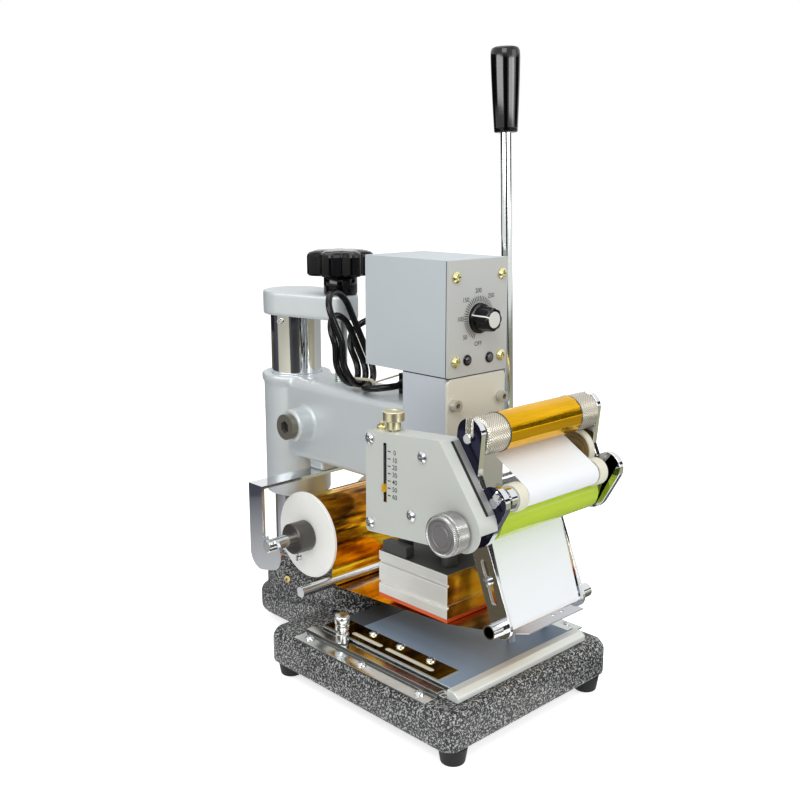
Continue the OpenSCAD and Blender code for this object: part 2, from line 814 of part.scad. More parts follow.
// Corners of an upright rectangle with rounded corners
function round_corners(x0, x1, z0, z1, r) =
    [for (c = [[x1 - r, z0 + r, -90], [x1 - r, z1 - r, 0], [x0 + r, z1 - r, 90], [x0 + r, z0 + r, 180]],
          i = [0:5]) [c[0], c[1]] + r * [cos(c[2] + i * 18), sin(c[2] + i * 18)]];

module beam() {
    back = post_y - sleeve_r * 0.6;
    translate([0, back, 0]) rotate([90, 0, 0]) linear_extrude(back - head_back)
        polygon(round_corners(-arm_half, arm_half, arm_z, arm_top, arm_round));
}

module arm_casting() {
    sleeve_z = deck_z + sleeve_rise;
    color("#b4b7bb") difference() {
        union() {
            translate([0, post_y, sleeve_z]) cylinder(r = sleeve_r, h = sleeve_l);
            translate([0, post_y, sleeve_z + sleeve_l - 8]) cylinder(r = sleeve_r + 2, h = 8);
            beam();
            rod_x(-arm_half - boss_l, 0, boss_d / 2, clamp_c);
            block(-18, 18, yoke_y0, yoke_y0 + yoke_w, yoke_top, arm_z + arm_round);
        }
        translate([0, post_y, sleeve_z - cut]) cylinder(r = post_r + run_fit, h = sleeve_l + 2 * cut);
        translate([0, screw_y, yoke_top - cut])
            cylinder(d = screw_d + 2 * run_fit, h = arm_h + yoke_drop + 2 * cut);
    }
}

head_screw_x = head_half - 7;
casing_screws = [[casing_back - 6, casing_top - 6], [casing_back - 66, casing_top - 10],
                 [casing_back - 54, casing_top - 60], [casing_back - 6, casing_low + 8]];
arm_lock_c = tube_c + 0.45 * (tie_c - tube_c);

module arm_screws() {
    press_screw_d = journal_d * 0.7;
    press_at = press_c + (journal_d / 2 + 4.3) * press_dir;
    color("#d4d4d0") {
        for (x = [-1, 1], z = [box_z - 23, housing_z + 18])
            translate([x * head_screw_x, plate_front, z]) rotate([90, 0, 0]) socket_screw(10, 6);
        for (c = casing_screws)
            translate([-casing_x, c[0], c[1]]) rotate([0, -90, 0]) pan_screw(9.5, 3);
        both_sides() {
            translate([foil_half + 1.5 + guide_arm_t, arm_lock_c[0], arm_lock_c[1]]) rotate([0, 90, 0])
                pan_screw(8, 3);
            rod_x(bracket_out - 2, bracket_out + 3, press_screw_d / 2, press_at);
        }
    }
    color("#4a4a4c") translate([-arm_half - boss_l, clamp_c[0], clamp_c[1]]) rotate([0, -90, 0])
        socket_screw(25, 7);
}

module ram_housing() {
    bore = lever_shaft_d / 2 + run_fit;
    color("#b0b3b6") difference() {
        block(-head_half, head_half, housing_front, head_back, housing_z, box_z);
        block(-ram_w / 2 - run_fit, ram_w / 2 + run_fit, housing_front - cut, ram_back + run_fit,
              housing_z - cut, box_z + cut);
        rod_x(-11.6, 11.6, pinion_r + tooth_add + 0.6, [pinion_y, pinion_z]);
        rod_x(-head_half - cut, head_half + cut, bore, [pinion_y, pinion_z]);
    }
}

module front_plate() {
    r = 5;
    color("#b9b2a3") translate([0, housing_front, 0]) rotate([90, 0, 0]) linear_extrude(front_t)
        translate([-head_half + r, housing_z + 4 + r]) offset(r = r)
            square([head_w - 2 * r, housing_h - 5 - 2 * r]);
}

// Control box

module control_cover() {
    w = box_wall;
    color("#b3bac2") difference() {
        block(-head_half, head_half, box_front, box_back, box_z, box_top);
        block(-head_half + w, head_half - w, box_front - cut, box_back - w, box_z + w, box_top - w);
        rod_y(box_back - w - cut, box_back + cut, 6, gland_c[0], gland_c[1]);
    }
}

lamp_places = [[-13.5, box_z + 13], [14, box_z + 12.5]];

module control_panel() {
    color("#b9b2a3") difference() {
        block(-head_half, head_half, panel_front, box_front, box_z, box_top);
        rod_y(panel_front - cut, box_front + cut, 4, dial_x, dial_z);
        for (c = lamp_places) rod_y(panel_front - cut, box_front + cut, lamp_d / 2, c[0], c[1]);
    }
}

module panel_screws() {
    color("#c7a85a") for (x = [-1, 1], z = [box_z + 13, box_top - 13.5])
        translate([x * (head_half - 8), panel_front, z]) rotate([90, 0, 0]) pan_screw(9.5, 3);
}

module pilot_lamps() {
    color("#30343a") for (c = lamp_places) rod_y(panel_front - 2, box_front + 12, lamp_d / 2, c[0], c[1]);
}

thermostat_w = 36;

module thermostat() {
    color("#d8d2c0") difference() {
        block(dial_x - thermostat_w / 2, dial_x + thermostat_w / 2, box_front, box_front + 28,
              dial_z - 18, dial_z + 18);
        rod_y(box_front - cut, box_front + 15, 3 + run_fit, dial_x, dial_z);
    }
}

module dial_knob() {
    y1 = panel_front - slide_fit;
    color("#17171a") translate([dial_x, y1, dial_z]) rotate([90, 0, 0]) {
        cylinder(d = dial_d, h = dial_l * 0.35);
        translate([0, 0, dial_l * 0.35]) cylinder(d1 = dial_d * 0.9, d2 = dial_d * 0.82, h = dial_l * 0.65);
    }
    color("#9a9a9a") rod_y(y1, box_front + 14, 3, dial_x, dial_z);
}

module cable_gland() {
    color("#161616") {
        rod_y(box_back - box_wall, box_back, 6, gland_c[0], gland_c[1]);
        rod_y(box_back, box_back + 3.5, 8, gland_c[0], gland_c[1]);
        translate([gland_c[0], box_back + 3.5, gland_c[1]]) rotate([-90, 0, 0])
            cylinder(d1 = cord_d + 5, d2 = cord_d + 1.4, h = gland_l - 3.5);
    }
}

module cord_lead() {
    color("#131313") sweep(cord_lead_points, cord_r, 8, [0, 0, 1]);
}

module cord_hank() {
    color("#131313") sweep(hank_points, cord_r, 6, [1, 0, 0]);
}

// Band round the low folds, with its free end towards the plug
module cord_tie() {
    t = 1.2;
    band = 5;
    folds = [for (k = [0:2]) [hank_layers[k], hank_floors[k] - hank_r]];
    color("#d9d3b4") multmatrix([for (i = [0:2]) [hank_n[i], hank_u[i], hank_h[i], hank_c[i]]]) {
        translate([0, 0, -band / 2]) linear_extrude(band) difference() {
            hull() for (p = folds) translate(p) circle(cord_r + slide_fit + t);
            hull() for (p = folds) translate(p) circle(cord_r + slide_fit);
        }
        hull() {
            translate([-cord_r - slide_fit - t * 0.6, -hank_r, 0]) cube([t * 0.7, 1.2, 4], center = true);
            translate([-29.3, -20.5, 6.5]) cube([t * 0.7, 1.2, 4], center = true);
        }
    }
}

module mains_plug() {
    tip = hank_tail[len(hank_tail) - 1];
    c = [tip[1], tip[2]];
    x0 = tip[0];
    color("#151515") {
        translate([x0, c[0], c[1]]) rotate([0, 90, 0]) cylinder(d1 = cord_d + 1.4, d2 = 13, h = 9);
        block(x0 + 9, x0 + 29, c[0] - 10, c[0] + 10, arm_top + 0.1, c[1] + 9);
    }
    color("#c8c8c8") for (y = [-6.5, 6.5]) rod_x(x0 + 29, x0 + 47, 2.3, c + [y, 0]);
}

// Lever

lever_hub_half = 10;

function involute(a) = tan(a) * 180 / PI - a;
function tooth_half(r) = 90 / pinion_teeth - tooth_play / 2 / pinion_r * 180 / PI
    + involute(tooth_angle) - involute(acos(min(1, base_circle / r)));

module pinion_outline() {
    rings = [for (i = [0:4]) max(base_circle, pinion_r - tooth_ded)
        + (pinion_r + tooth_add - max(base_circle, pinion_r - tooth_ded)) * i / 4];
    root = pinion_r - tooth_ded;
    polygon([for (k = [0:pinion_teeth - 1]) let (a = 180 + 360 * k / pinion_teeth)
        each [polar([0, 0], root, a - tooth_half(rings[0])),
              for (r = rings) polar([0, 0], r, a - tooth_half(r)),
              for (i = [4:-1:0]) polar([0, 0], rings[i], a + tooth_half(rings[i])),
              polar([0, 0], root, a + tooth_half(rings[0]))]]);
}

module lever_shaft() {
    c = [pinion_y, pinion_z];
    color("#9b9ea2") difference() {
        union() {
            rod_x(-head_half + 2, lever_x + lever_hub_half, lever_shaft_d / 2, c);
            plate_x(-11, 11) translate(c) pinion_outline();
            rod_x(lever_x - lever_hub_half, lever_x + lever_hub_half, 13, c);
        }
        lever_frame() translate([0, 0, 9]) cylinder(d = lever_rod_d, h = lever_l);
    }
}

module lever_frame() {
    translate([lever_x, pinion_y, pinion_z]) rotate([-lever_lean, 0, 0]) children();
}

module lever_rod() {
    color("#d5d7da") lever_frame() translate([0, 0, 9]) cylinder(d = lever_rod_d, h = lever_l - 9 - 8);
}

module lever_grip() {
    color("#0e0e10") lever_frame() translate([0, 0, lever_l - grip_l]) difference() {
        union() {
            cylinder(d1 = grip_neck_d, d2 = grip_d, h = grip_l * 0.86);
            translate([0, 0, grip_l * 0.86]) cylinder(d1 = grip_d, d2 = grip_d * 0.72, h = grip_l * 0.14);
        }
        translate([0, 0, -cut]) cylinder(d = lever_rod_d, h = grip_l - 8 + cut);
    }
}

// Ram and heater

module rack_spaces() {
    pitch = PI * pinion_module;
    depth = tooth_ded - 0.24;
    half = pitch / 4 + tooth_play / 2;
    rise = tan(tooth_angle);
    for (k = [-2:6]) translate([rack_y, pinion_z + k * pitch])
        polygon([[-depth, -half + depth * rise], [tooth_add + cut, -half - (tooth_add + cut) * rise],
                 [tooth_add + cut, half + (tooth_add + cut) * rise], [-depth, half - depth * rise]]);
}

module ram() {
    color("#a9acb0") {
        difference() {
            block(-ram_w / 2, ram_w / 2, ram_front, ram_back, ram_z - 1, ram_top);
            plate_x(-ram_w / 2 - cut, ram_w / 2 + cut) rack_spaces();
        }
        block(-leg_x - 8, leg_x + 8, leg_front - 8, leg_back + 8, ram_foot_z, ram_z);
    }
}

module return_spring() {
    color("#8d9094") sweep(spring_points, spring_wire / 2, 6, [0, 0, 1]);
}

module insulators() {
    color("#2e3034") both_sides() {
        for (y = [leg_front, leg_back]) translate([leg_x, y, heater_top]) cylinder(d = leg_d, h = leg_h);
        block(leg_x + leg_d / 2 + 1, heater_half - 1, heater_back - 34, heater_back - 4,
              heater_top, heater_top + insulator_h);
    }
}

cartridge_places = [heater_y - 21, heater_y + 21];
cartridge_z = heater_z + 8.5;

module heater_profile(h, groove_z) {
    g = heater_groove;
    w = heater_half;
    side = [[w, 0], [w, groove_z - 0.7], [w - g, groove_z], [w - g, groove_z + 1.5],
            [w, groove_z + 2.2], [w, h]];
    polygon(concat(side, [for (i = [len(side) - 1:-1:0]) [-side[i][0], side[i][1]]]));
}

module heater_block() {
    color("#c3c5c6") difference() {
        translate([0, heater_back, heater_z]) rotate([90, 0, 0]) linear_extrude(heater_l)
            heater_profile(heater_h, heater_h - 11);
        for (y = cartridge_places)
            rod_x(-heater_half + 6, heater_half + cut, cartridge_d / 2, [y, cartridge_z]);
    }
}

module cartridge_heaters() {
    color("#8a8c8e") for (y = cartridge_places)
        rod_x(-heater_half + 6, heater_half - 2, cartridge_d / 2, [y, cartridge_z]);
}

module die_plate() {
    color("#cfd0ce") translate([0, heater_back, die_z]) rotate([90, 0, 0]) linear_extrude(heater_l)
        heater_profile(die_h, die_h - 2.8);
}

module silicone_pad() {
    color("#e0662f") block(-heater_half, heater_half, -heater_front, heater_back, pad_z, die_z);
}

// Foil feed

module bracket_outline() {
    neck = takeup_c + [3, -30];
    link(takeup_c + [0, 3], 12.5, neck, 12);
    link(press_c, 13, drive_c, 18);
    hull() {
        at(drive_c, 18);
        at(neck, 12);
        at([spacer_y, spacer_low], 10);
        at([spacer_y, spacer_high], 10);
        at(tie_c, 8);
    }
}

module bracket() {
    play = journal_d + 2 * run_fit;
    difference() {
        plate_x(bracket_x, bracket_out) bracket_outline();
        plate_x(bracket_x - cut, bracket_out + cut) {
            translate(takeup_c + [-play / 2, 0]) square([play, 20]);
            translate(press_c) rotate(atan2(press_dir[1], press_dir[0])) translate([0, -play / 2])
                square([journal_d / 2 + 4.3 + journal_d * 0.35, play]);
        }
        rod_x(bracket_x - cut, bracket_out + cut, play / 2, takeup_c);
        rod_x(bracket_x - cut, bracket_out + cut, play / 2, press_c);
        rod_x(bracket_x - cut, bracket_out + cut, drive_shaft_d / 2 + run_fit, drive_c);
    }
}

module left_bracket() {
    lug = 10;
    color("#c6c8cb") mirror([1, 0, 0]) {
        bracket();
        for (z = [feed_low, feed_high - lug_t]) difference() {
            block(bracket_out, feed_x + 6, -feed_front - lug / 2, -feed_front + lug / 2, z, z + lug_t);
            translate([feed_x, -feed_front, z - cut]) cylinder(d = feed_d + 2 * run_fit, h = lug_t + 2 * cut);
        }
    }
}

module right_bracket() {
    color("#c6c8cb") {
        bracket();
        rod_x(wheel_x0, bracket_x, journal_d / 2, wheel_c);
    }
}

module bracket_spacers() {
    color("#b9bbbe") {
        both_sides() for (z = [spacer_low, spacer_high]) rod_x(head_half, bracket_x, 7, [spacer_y, z]);
        rod_x(-bracket_x, bracket_x, 5, tie_c);
    }
}

module casing_outline(inset) {
    hull() {
        at([casing_back - 3, casing_top - 3], 3.01 - inset);
        at([casing_back - 82, casing_top + 2.7], 3.01 - inset);
        at([casing_back - 3, casing_low + 3], 3.01 - inset);
        at(drive_c + [-4.7, 2.3], 18.6 - inset);
    }
}

module feed_casing() {
    w = casing_wall;
    color("#babdbf") mirror([1, 0, 0]) difference() {
        plate_x(bracket_out, casing_x) casing_outline(0);
        plate_x(bracket_out - cut, casing_x - w) casing_outline(w);
        block(bracket_out - cut, casing_x - w, drive_c[0] - 30, casing_back - 3,
              casing_low - 10, casing_low + 26);
        block(casing_x - w - cut, casing_x + cut, -feed_front - pointer_slot_w / 2,
              -feed_front + pointer_slot_w / 2, pointer_slot_low, pointer_slot_high);
        rod_x(casing_x - w - cut, casing_x + cut, drive_shaft_d / 2 + 2, drive_c);
        translate([feed_x, -feed_front, casing_top - 8]) cylinder(d = feed_d + 2, h = 10);
    }
}

module feed_screw() {
    head_z = casing_top + 2.2 + slide_fit;
    color("#c8a84e") translate([-feed_x, -feed_front, 0]) {
        translate([0, 0, feed_low + 1]) cylinder(d = feed_d, h = head_z + 10 - feed_low);
        translate([0, 0, head_z]) cylinder(d = 12, h = 8);
        translate([0, 0, head_z + 7]) cylinder(d = 18, h = 8.5);
    }
}

module feed_pointer() {
    tab = pointer_slot_w - 0.4;
    color("#c8a030") difference() {
        union() {
            block(-feed_x - 5, -feed_x + 5, -feed_front - 5, -feed_front + 5, pointer_z - 4, pointer_z + 4);
            block(-casing_x - 2.5, -feed_x - 4, -feed_front - tab / 2, -feed_front + tab / 2,
                  pointer_z - 3, pointer_z + 3);
        }
        translate([-feed_x, -feed_front, pointer_z - 5]) cylinder(d = feed_d + 2 * run_fit, h = 10);
    }
}

ratchet_teeth = 16;
ratchet_r = 12;

module ratchet_outline() {
    polygon([for (k = [0:ratchet_teeth - 1]) let (a = 360 * k / ratchet_teeth)
        each [polar(drive_c, ratchet_r, a), polar(drive_c, ratchet_r - 2.2, a + 3)]]);
}

module drive_shaft() {
    color("#a4a7aa") {
        rod_x(-casing_x - slide_fit - knob_l + 2, bracket_out + 2, drive_shaft_d / 2, drive_c);
        plate_x(-casing_x + 5, -casing_x + 12) ratchet_outline();
    }
}

module drive_sleeve() {
    color("#a6d410") tube_x(-drive_half, drive_half, drive_r, drive_shaft_d / 2, drive_c);
}

module hand_knob() {
    x1 = -casing_x - slide_fit;
    color("#9a9b9d") difference() {
        rod_x(x1 - knob_l, x1, knob_d / 2, drive_c);
        rod_x(x1 - knob_l + 2, x1 + cut, drive_shaft_d / 2, drive_c);
    }
}

ring_x = foil_half + 1.5;

module press_shaft() {
    color("#d0d2d4") {
        rod_x(-bracket_out + slide_fit, bracket_out + 2, journal_d / 2, press_c);
        rod_x(-drive_half - 2, wheel_x0 - 0.5, press_core_d / 2, press_c);
    }
}

module press_rings() {
    color("#e6e3d2") both_sides() tube_x(ring_x, ring_x + ring_w, press_r, press_core_d / 2, press_c);
}

module friction_wheel() {
    color("#4b3a2c") tube_x(wheel_x0, wheel_x0 + wheel_w, wheel_r, journal_d / 2 + run_fit, wheel_c);
}

module takeup_roller() {
    color("#cfcabb") {
        rod_x(-bracket_out - 3, bracket_out + 3, journal_d / 2, takeup_c);
        rod_x(-foil_half - 0.5, foil_half + 0.5, takeup_r - 2.5, takeup_c);
        both_sides() rod_x(foil_half + 0.5, takeup_half, takeup_r, takeup_c);
    }
}

module takeup_film() {
    color("#e2a312") tube_x(-foil_half, foil_half, film_d / 2, takeup_r - 2.5, takeup_c);
}

module guide_arms() {
    x0 = foil_half + 1.5;
    a = tube_c + 0.25 * (tie_c - tube_c);
    b = tube_c + 0.62 * (tie_c - tube_c);
    color("#c9c2a0") both_sides() difference() {
        plate_x(x0, x0 + guide_arm_t) link(tube_c, 10, tie_c, 9);
        plate_x(x0 - cut, x0 + guide_arm_t + cut) slot(a, b, 6);
        rod_x(x0 - cut, x0 + guide_arm_t + cut, tube_d / 2, tube_c);
        rod_x(x0 - cut, x0 + guide_arm_t + cut, 5, tie_c);
    }
}

module guide_rods() {
    color("#d2d4d6") {
        tube_x(-tube_half, tube_half, tube_d / 2, tube_d / 2 - tube_wall, tube_c);
        rod_x(-rear_rod_left, yoke_x + yoke_t / 2, rear_rod_d / 2, rear_rod_c);
    }
}

module foil_web() {
    side = path_offset(web_path, foil_t / 2);
    back = path_offset(web_path, -foil_t / 2);
    color("#eceae4") plate_x(-foil_half, foil_half)
        polygon(concat(side, [for (i = [len(back) - 1:-1:0]) back[i]]));
}

// Foil supply

module cheek_outline() {
    translate([yoke_y0, supply_c[1] - 12]) square([yoke_w, yoke_top - supply_c[1] + 12]);
    link(supply_c + [0, -8], 16, [yoke_y0 + yoke_w - 16, supply_c[1] - 12], 16);
}

module supply_yoke() {
    notch = supply_axle_d + 2 * run_fit;
    x0 = yoke_x - yoke_t / 2;
    color("#c8cacd") difference() {
        union() {
            block(-yoke_x - yoke_t / 2, yoke_x + yoke_t / 2, yoke_y0, yoke_y0 + yoke_w,
                  yoke_top - yoke_t, yoke_top);
            both_sides() plate_x(x0, x0 + yoke_t) cheek_outline();
            plate_x(x0, x0 + yoke_t) link(rear_rod_c, rear_rod_d / 2 + 4, supply_c + [0, -12], 10);
        }
        both_sides() {
            plate_x(x0 - cut, x0 + yoke_t + cut)
                translate(supply_c + [-notch / 2, 0]) square([notch, 20]);
            rod_x(x0 - cut, x0 + yoke_t + cut, notch / 2, supply_c);
        }
        rod_x(x0 - cut, x0 + yoke_t + cut, rear_rod_d / 2, rear_rod_c);
    }
}

module supply_axle() {
    x0 = flange_x + flange_t;
    color("#9fa2a5") rod_x(-yoke_x - 6, yoke_x + 6, supply_axle_d / 2, supply_c);
    color("#3c3e40") both_sides() rod_x(x0, x0 + collar_l, collar_d / 2, supply_c);
}

module supply_flanges() {
    color("#e9e9e4") both_sides()
        tube_x(flange_x, flange_x + flange_t, flange_d / 2, supply_axle_d / 2, supply_c);
}

module foil_roll() {
    color("#d99a10") tube_x(-foil_half, foil_half, roll_d / 2, supply_axle_d / 2, supply_c);
}

base_casting();
rubber_feet();
post();
post_cap();
base_screws();
slide_rails();
table_carriage();
table_plate();
front_bar();
gauge_plate();
side_lay();
lock_nut();
height_screw();
star_knob();
arm_casting();
arm_screws();
ram_housing();
front_plate();
control_cover();
control_panel();
panel_screws();
pilot_lamps();
thermostat();
dial_knob();
cable_gland();
cord_lead();
cord_hank();
cord_tie();
mains_plug();
lever_shaft();
lever_rod();
lever_grip();
ram();
return_spring();
insulators();
heater_block();
cartridge_heaters();
die_plate();
silicone_pad();
left_bracket();
right_bracket();
bracket_spacers();
feed_casing();
feed_screw();
feed_pointer();
drive_shaft();
drive_sleeve();
hand_knob();
press_shaft();
press_rings();
friction_wheel();
takeup_roller();
takeup_film();
guide_arms();
guide_rods();
foil_web();
supply_yoke();
supply_axle();
supply_flanges();
foil_roll();
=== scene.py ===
# %% [markdown]
# # A bench hot foil stamping machine
# A hand lever drives a heated plate down on a sliding table, and rollers pull gold foil from a roll at
# the back. The solids come from CAD as a fixed frame in metres; this lesson gives them softened edges,
# finishes, print and the soft goods, and each new piece rides on the CAD body that carries it.

# %% Load the CAD frame
import bpy
import bmesh
import json
from bmesh.types import BMEdge, BMFace, BMVert
from math import acos, atan2, cos, hypot, pi, radians, sin
from mathutils import Euler, Matrix, Vector


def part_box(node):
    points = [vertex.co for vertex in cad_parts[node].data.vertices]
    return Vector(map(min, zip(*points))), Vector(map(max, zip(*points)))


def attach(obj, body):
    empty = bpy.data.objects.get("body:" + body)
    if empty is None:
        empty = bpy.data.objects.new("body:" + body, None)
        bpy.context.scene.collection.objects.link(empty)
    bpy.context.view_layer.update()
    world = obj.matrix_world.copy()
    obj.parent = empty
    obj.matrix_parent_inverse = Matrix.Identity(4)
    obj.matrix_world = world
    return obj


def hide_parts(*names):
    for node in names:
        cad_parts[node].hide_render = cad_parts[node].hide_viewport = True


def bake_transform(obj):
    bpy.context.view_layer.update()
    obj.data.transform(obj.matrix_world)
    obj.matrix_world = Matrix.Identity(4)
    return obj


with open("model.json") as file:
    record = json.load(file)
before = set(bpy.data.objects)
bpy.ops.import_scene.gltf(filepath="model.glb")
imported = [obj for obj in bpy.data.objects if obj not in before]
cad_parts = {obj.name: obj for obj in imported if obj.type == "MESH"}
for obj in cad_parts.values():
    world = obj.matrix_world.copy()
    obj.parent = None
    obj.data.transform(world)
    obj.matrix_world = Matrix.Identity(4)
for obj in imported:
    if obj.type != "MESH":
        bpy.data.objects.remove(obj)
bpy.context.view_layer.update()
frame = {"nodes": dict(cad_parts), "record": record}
scene = bpy.context.scene
MM = 0.001
bodies = frame["record"]["behaviour"]["bodies"]
body_of_node = {node: body for body, nodes in bodies.items() for node in nodes}


def mm(x, y, z):
    """A point written in millimetres, as metres."""
    return Vector((x, y, z)) * MM


# %% [markdown]
# ## The camera
# The photograph was taken from the front left, a little above the control box. A camera can be placed by eye,
# but this one's place, turn and lens were solved from the slab's corners, so every CAD edge falls on its place
# in the picture.

# %% Camera
LENS, SENSOR = 46.125, 36
TILT_DOWN, TURN_RIGHT = 12.1, 43.6
lens_data = bpy.data.cameras.new("camera")
lens_data.lens, lens_data.sensor_width, lens_data.clip_start = LENS, SENSOR, 0.01
camera = bpy.data.objects.new("camera", lens_data)
camera.location = mm(-631.9, -614.8, 456)
camera.rotation_euler = Euler((radians(90 - TILT_DOWN), 0, radians(-TURN_RIGHT)))
scene.collection.objects.link(camera)
scene.camera = camera
scene.view_settings.view_transform = "Standard"
print("camera at", list(camera.location))

# %% [markdown]
# ## The mains lead
# A black lead leaves the back of the control box, bends down and is stored as a tied hank behind it, with
# the plug lying on the arm. A curve with a round bevel is a cord by nature, so the route of the CAD solid
# is repeated point by point and one Bezier spline runs through it.

# %% Route of the lead
CORD_D = 6.2
LEAD = [(20, 78, 330), (20, 82, 330), (19.4, 90.4, 329.7), (17.7, 97.3, 329), (15.2, 102.8, 327.7),
        (12, 106.9, 326), (8.6, 109.9, 323.7), (5, 111.8, 321), (1.5, 112.7, 317.8), (-1.6, 112.8, 314.2),
        (-4, 112.1, 310.1), (-5.6, 110.8, 305.5), (-6.1, 109.1, 300.5)]
TAIL = [(-18.4, 74.5, 270.9), (-24.3, 70.3, 271.2), (-28.2, 64.1, 271.9), (-29.4, 57, 272.9),
        (-27.9, 49.9, 274), (-23.8, 43.9, 275), (-17.7, 40, 275.7), (-10.6, 38.6, 276)]
HANK_C, HANK_R, HANK_STEP = Vector((-15, 83.6, 289.4)), 19, 7.3
LAYERS, FLOORS, TOPS = (2 * HANK_STEP, HANK_STEP, 0), (6, 2.9, 0), (32, 52.5)
hank_up = Vector((-22, 28.5, 89.7)).normalized()
sideways = Vector((0.92, 0.38, 0))
hank_across = (sideways - sideways.dot(hank_up) * hank_up).normalized()
hank_through = hank_up.cross(hank_across)


def hank_point(layer, up, across):
    """A point of the leaning hank: through its layers, up its runs and across them."""
    return HANK_C + layer * hank_through + up * hank_up + across * hank_across


def fold(layer, level, side, count):
    """Half a turn of cord: side 1 hangs below its level, side -1 stands above it."""
    angles = [pi * i / 8 for i in range(count)]
    return [hank_point(layer, level - side * HANK_R * sin(a), side * HANK_R * cos(a)) for a in angles]


def rise(layer):
    """The left run, which eases over to the next layer."""
    eased = [HANK_STEP * (1 - cos(pi * i / 5)) / 2 for i in range(5)]
    return [hank_point(layer - shift, FLOORS[0] + (TOPS[0] - FLOORS[0]) * i / 5, -HANK_R)
            for i, shift in enumerate(eased)]


def straight(layer, start, end, across, count):
    """A straight run up or down one layer."""
    return [hank_point(layer, start + (end - start) * i / count, across) for i in range(count)]


back_layer, mid_layer, near_layer = LAYERS
hank = straight(back_layer, 10, FLOORS[0], HANK_R, 2) + fold(back_layer, FLOORS[0], 1, 8) + rise(back_layer)
hank += fold(mid_layer, TOPS[0], -1, 8) + straight(mid_layer, TOPS[0], FLOORS[1], HANK_R, 5)
hank += fold(mid_layer, FLOORS[1], 1, 9) + rise(mid_layer)
hank += straight(near_layer, TOPS[0], TOPS[1], -HANK_R, 4) + fold(near_layer, TOPS[1], -1, 8)
hank += straight(near_layer, TOPS[1], FLOORS[2], HANK_R, 8) + fold(near_layer, FLOORS[2], 1, 5)
route = [mm(*p) for p in LEAD + hank + TAIL]
print("points on the lead:", len(route))

# %% The lead as a curve
cord_data = bpy.data.curves.new("mains_lead", "CURVE")
cord_data.dimensions, cord_data.bevel_depth, cord_data.bevel_resolution = "3D", 1, 5
cord_data.resolution_u = 4
spline = cord_data.splines.new("BEZIER")
spline.bezier_points.add(len(route) - 1)
for knot, point in zip(spline.bezier_points, route):
    knot.co, knot.handle_left_type, knot.handle_right_type = point, "AUTO", "AUTO"
    knot.radius = CORD_D / 2 * MM
mains_lead = bpy.data.objects.new("mains_lead", cord_data)
scene.collection.objects.link(mains_lead)
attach(mains_lead, "arm")
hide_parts("cord_lead", "cord_hank")
print("lead made, first point", list(route[0]))

# %% [markdown]
# ## Tools for shapes
# A few helpers cover most pieces. `piece` turns a bmesh into an object that rides on a body. `turned` spins
# a profile, as a lathe does. `softened` takes a merged copy of a CAD node and rounds its edges with a Bevel
# modifier, because no real edge is perfectly sharp and a rounded one catches the light. `by_place` gives
# single faces another finish, where one solid shows two metals.

# %% Pieces from meshes
def corners(node):
    """The low and the high corner of a CAD node's box, in millimetres."""
    return [[c / MM for c in corner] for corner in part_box(node)]


def middle(node):
    """The middle of a CAD node's box, in millimetres."""
    return [(a + b) / 2 / MM for a, b in zip(*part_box(node))]


def piece(name, bm, look, body, stands_for=(), sharp=35):
    """A bmesh becomes an object that rides on a CAD body."""
    mesh = bpy.data.meshes.new(name)
    bm.to_mesh(mesh)
    bm.free()
    mesh.materials.append(look)
    mesh.shade_smooth()
    mesh.set_sharp_from_angle(angle=radians(sharp))
    made = bpy.data.objects.new(name, mesh)
    scene.collection.objects.link(made)
    if body:
        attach(made, body)
    if stands_for:
        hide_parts(*stands_for)
    return made


def put(bm, matrix):
    """A bmesh moved to its place."""
    bmesh.ops.transform(bm, matrix=matrix, verts=bm.verts)
    return bm


def together(*parts):
    """Several bmeshes in one."""
    whole = bmesh.new()
    for part in parts:
        scratch = bpy.data.meshes.new("scratch")
        part.to_mesh(scratch)
        part.free()
        whole.from_mesh(scratch)
        bpy.data.meshes.remove(scratch)
    return whole


print("pieces can be made for", len(body_of_node), "nodes")

# %% Turned shapes and blocks
AXES = {"X": (Vector((1, 0, 0)), Vector((0, 0, 1))), "Y": (Vector((0, 1, 0)), Vector((0, 0, 1))),
        "Z": (Vector((0, 0, 1)), Vector((1, 0, 0)))}


def turned(profile, axis, centre=(0, 0, 0), steps=48, closed=False):
    """A lathe: (radius, distance along the axis) pairs in millimetres, spun round a full turn."""
    along, outward = AXES[axis]
    start = mm(*centre)
    bm = bmesh.new()
    chain = [bm.verts.new(start + along * (a * MM) + outward * (r * MM)) for r, a in profile]
    pairs = list(zip(chain, chain[1:])) + ([(chain[-1], chain[0])] if closed else [])
    edges = [bm.edges.new(pair) for pair in pairs]
    bmesh.ops.spin(bm, geom=chain + edges, cent=start, axis=along, angle=2 * pi, steps=steps, use_merge=True)
    bmesh.ops.remove_doubles(bm, verts=bm.verts, dist=1e-6)
    bmesh.ops.recalc_face_normals(bm, faces=bm.faces)
    return bm


def rounded(bm, edges, offset):
    """Chosen edges of a bmesh rounded over, by a radius in millimetres."""
    bmesh.ops.bevel(bm, geom=edges, offset=offset * MM, segments=2, profile=0.5, affect="EDGES", material=-1,
                    clamp_overlap=True)


def plate(low, high, edge=0.0):
    """A block between two corners in millimetres, with rounded edges if asked."""
    bm = bmesh.new()
    bmesh.ops.create_cube(bm, size=1)
    bmesh.ops.scale(bm, verts=bm.verts, vec=mm(*[b - a for a, b in zip(low, high)]))
    bmesh.ops.translate(bm, verts=bm.verts, vec=mm(*[(a + b) / 2 for a, b in zip(low, high)]))
    if edge:
        rounded(bm, bm.edges[:], edge)
    return bm


print("a lathe for the axes", ", ".join(AXES))

# %% Softened copies of CAD nodes
SOFT_ANGLE = 32


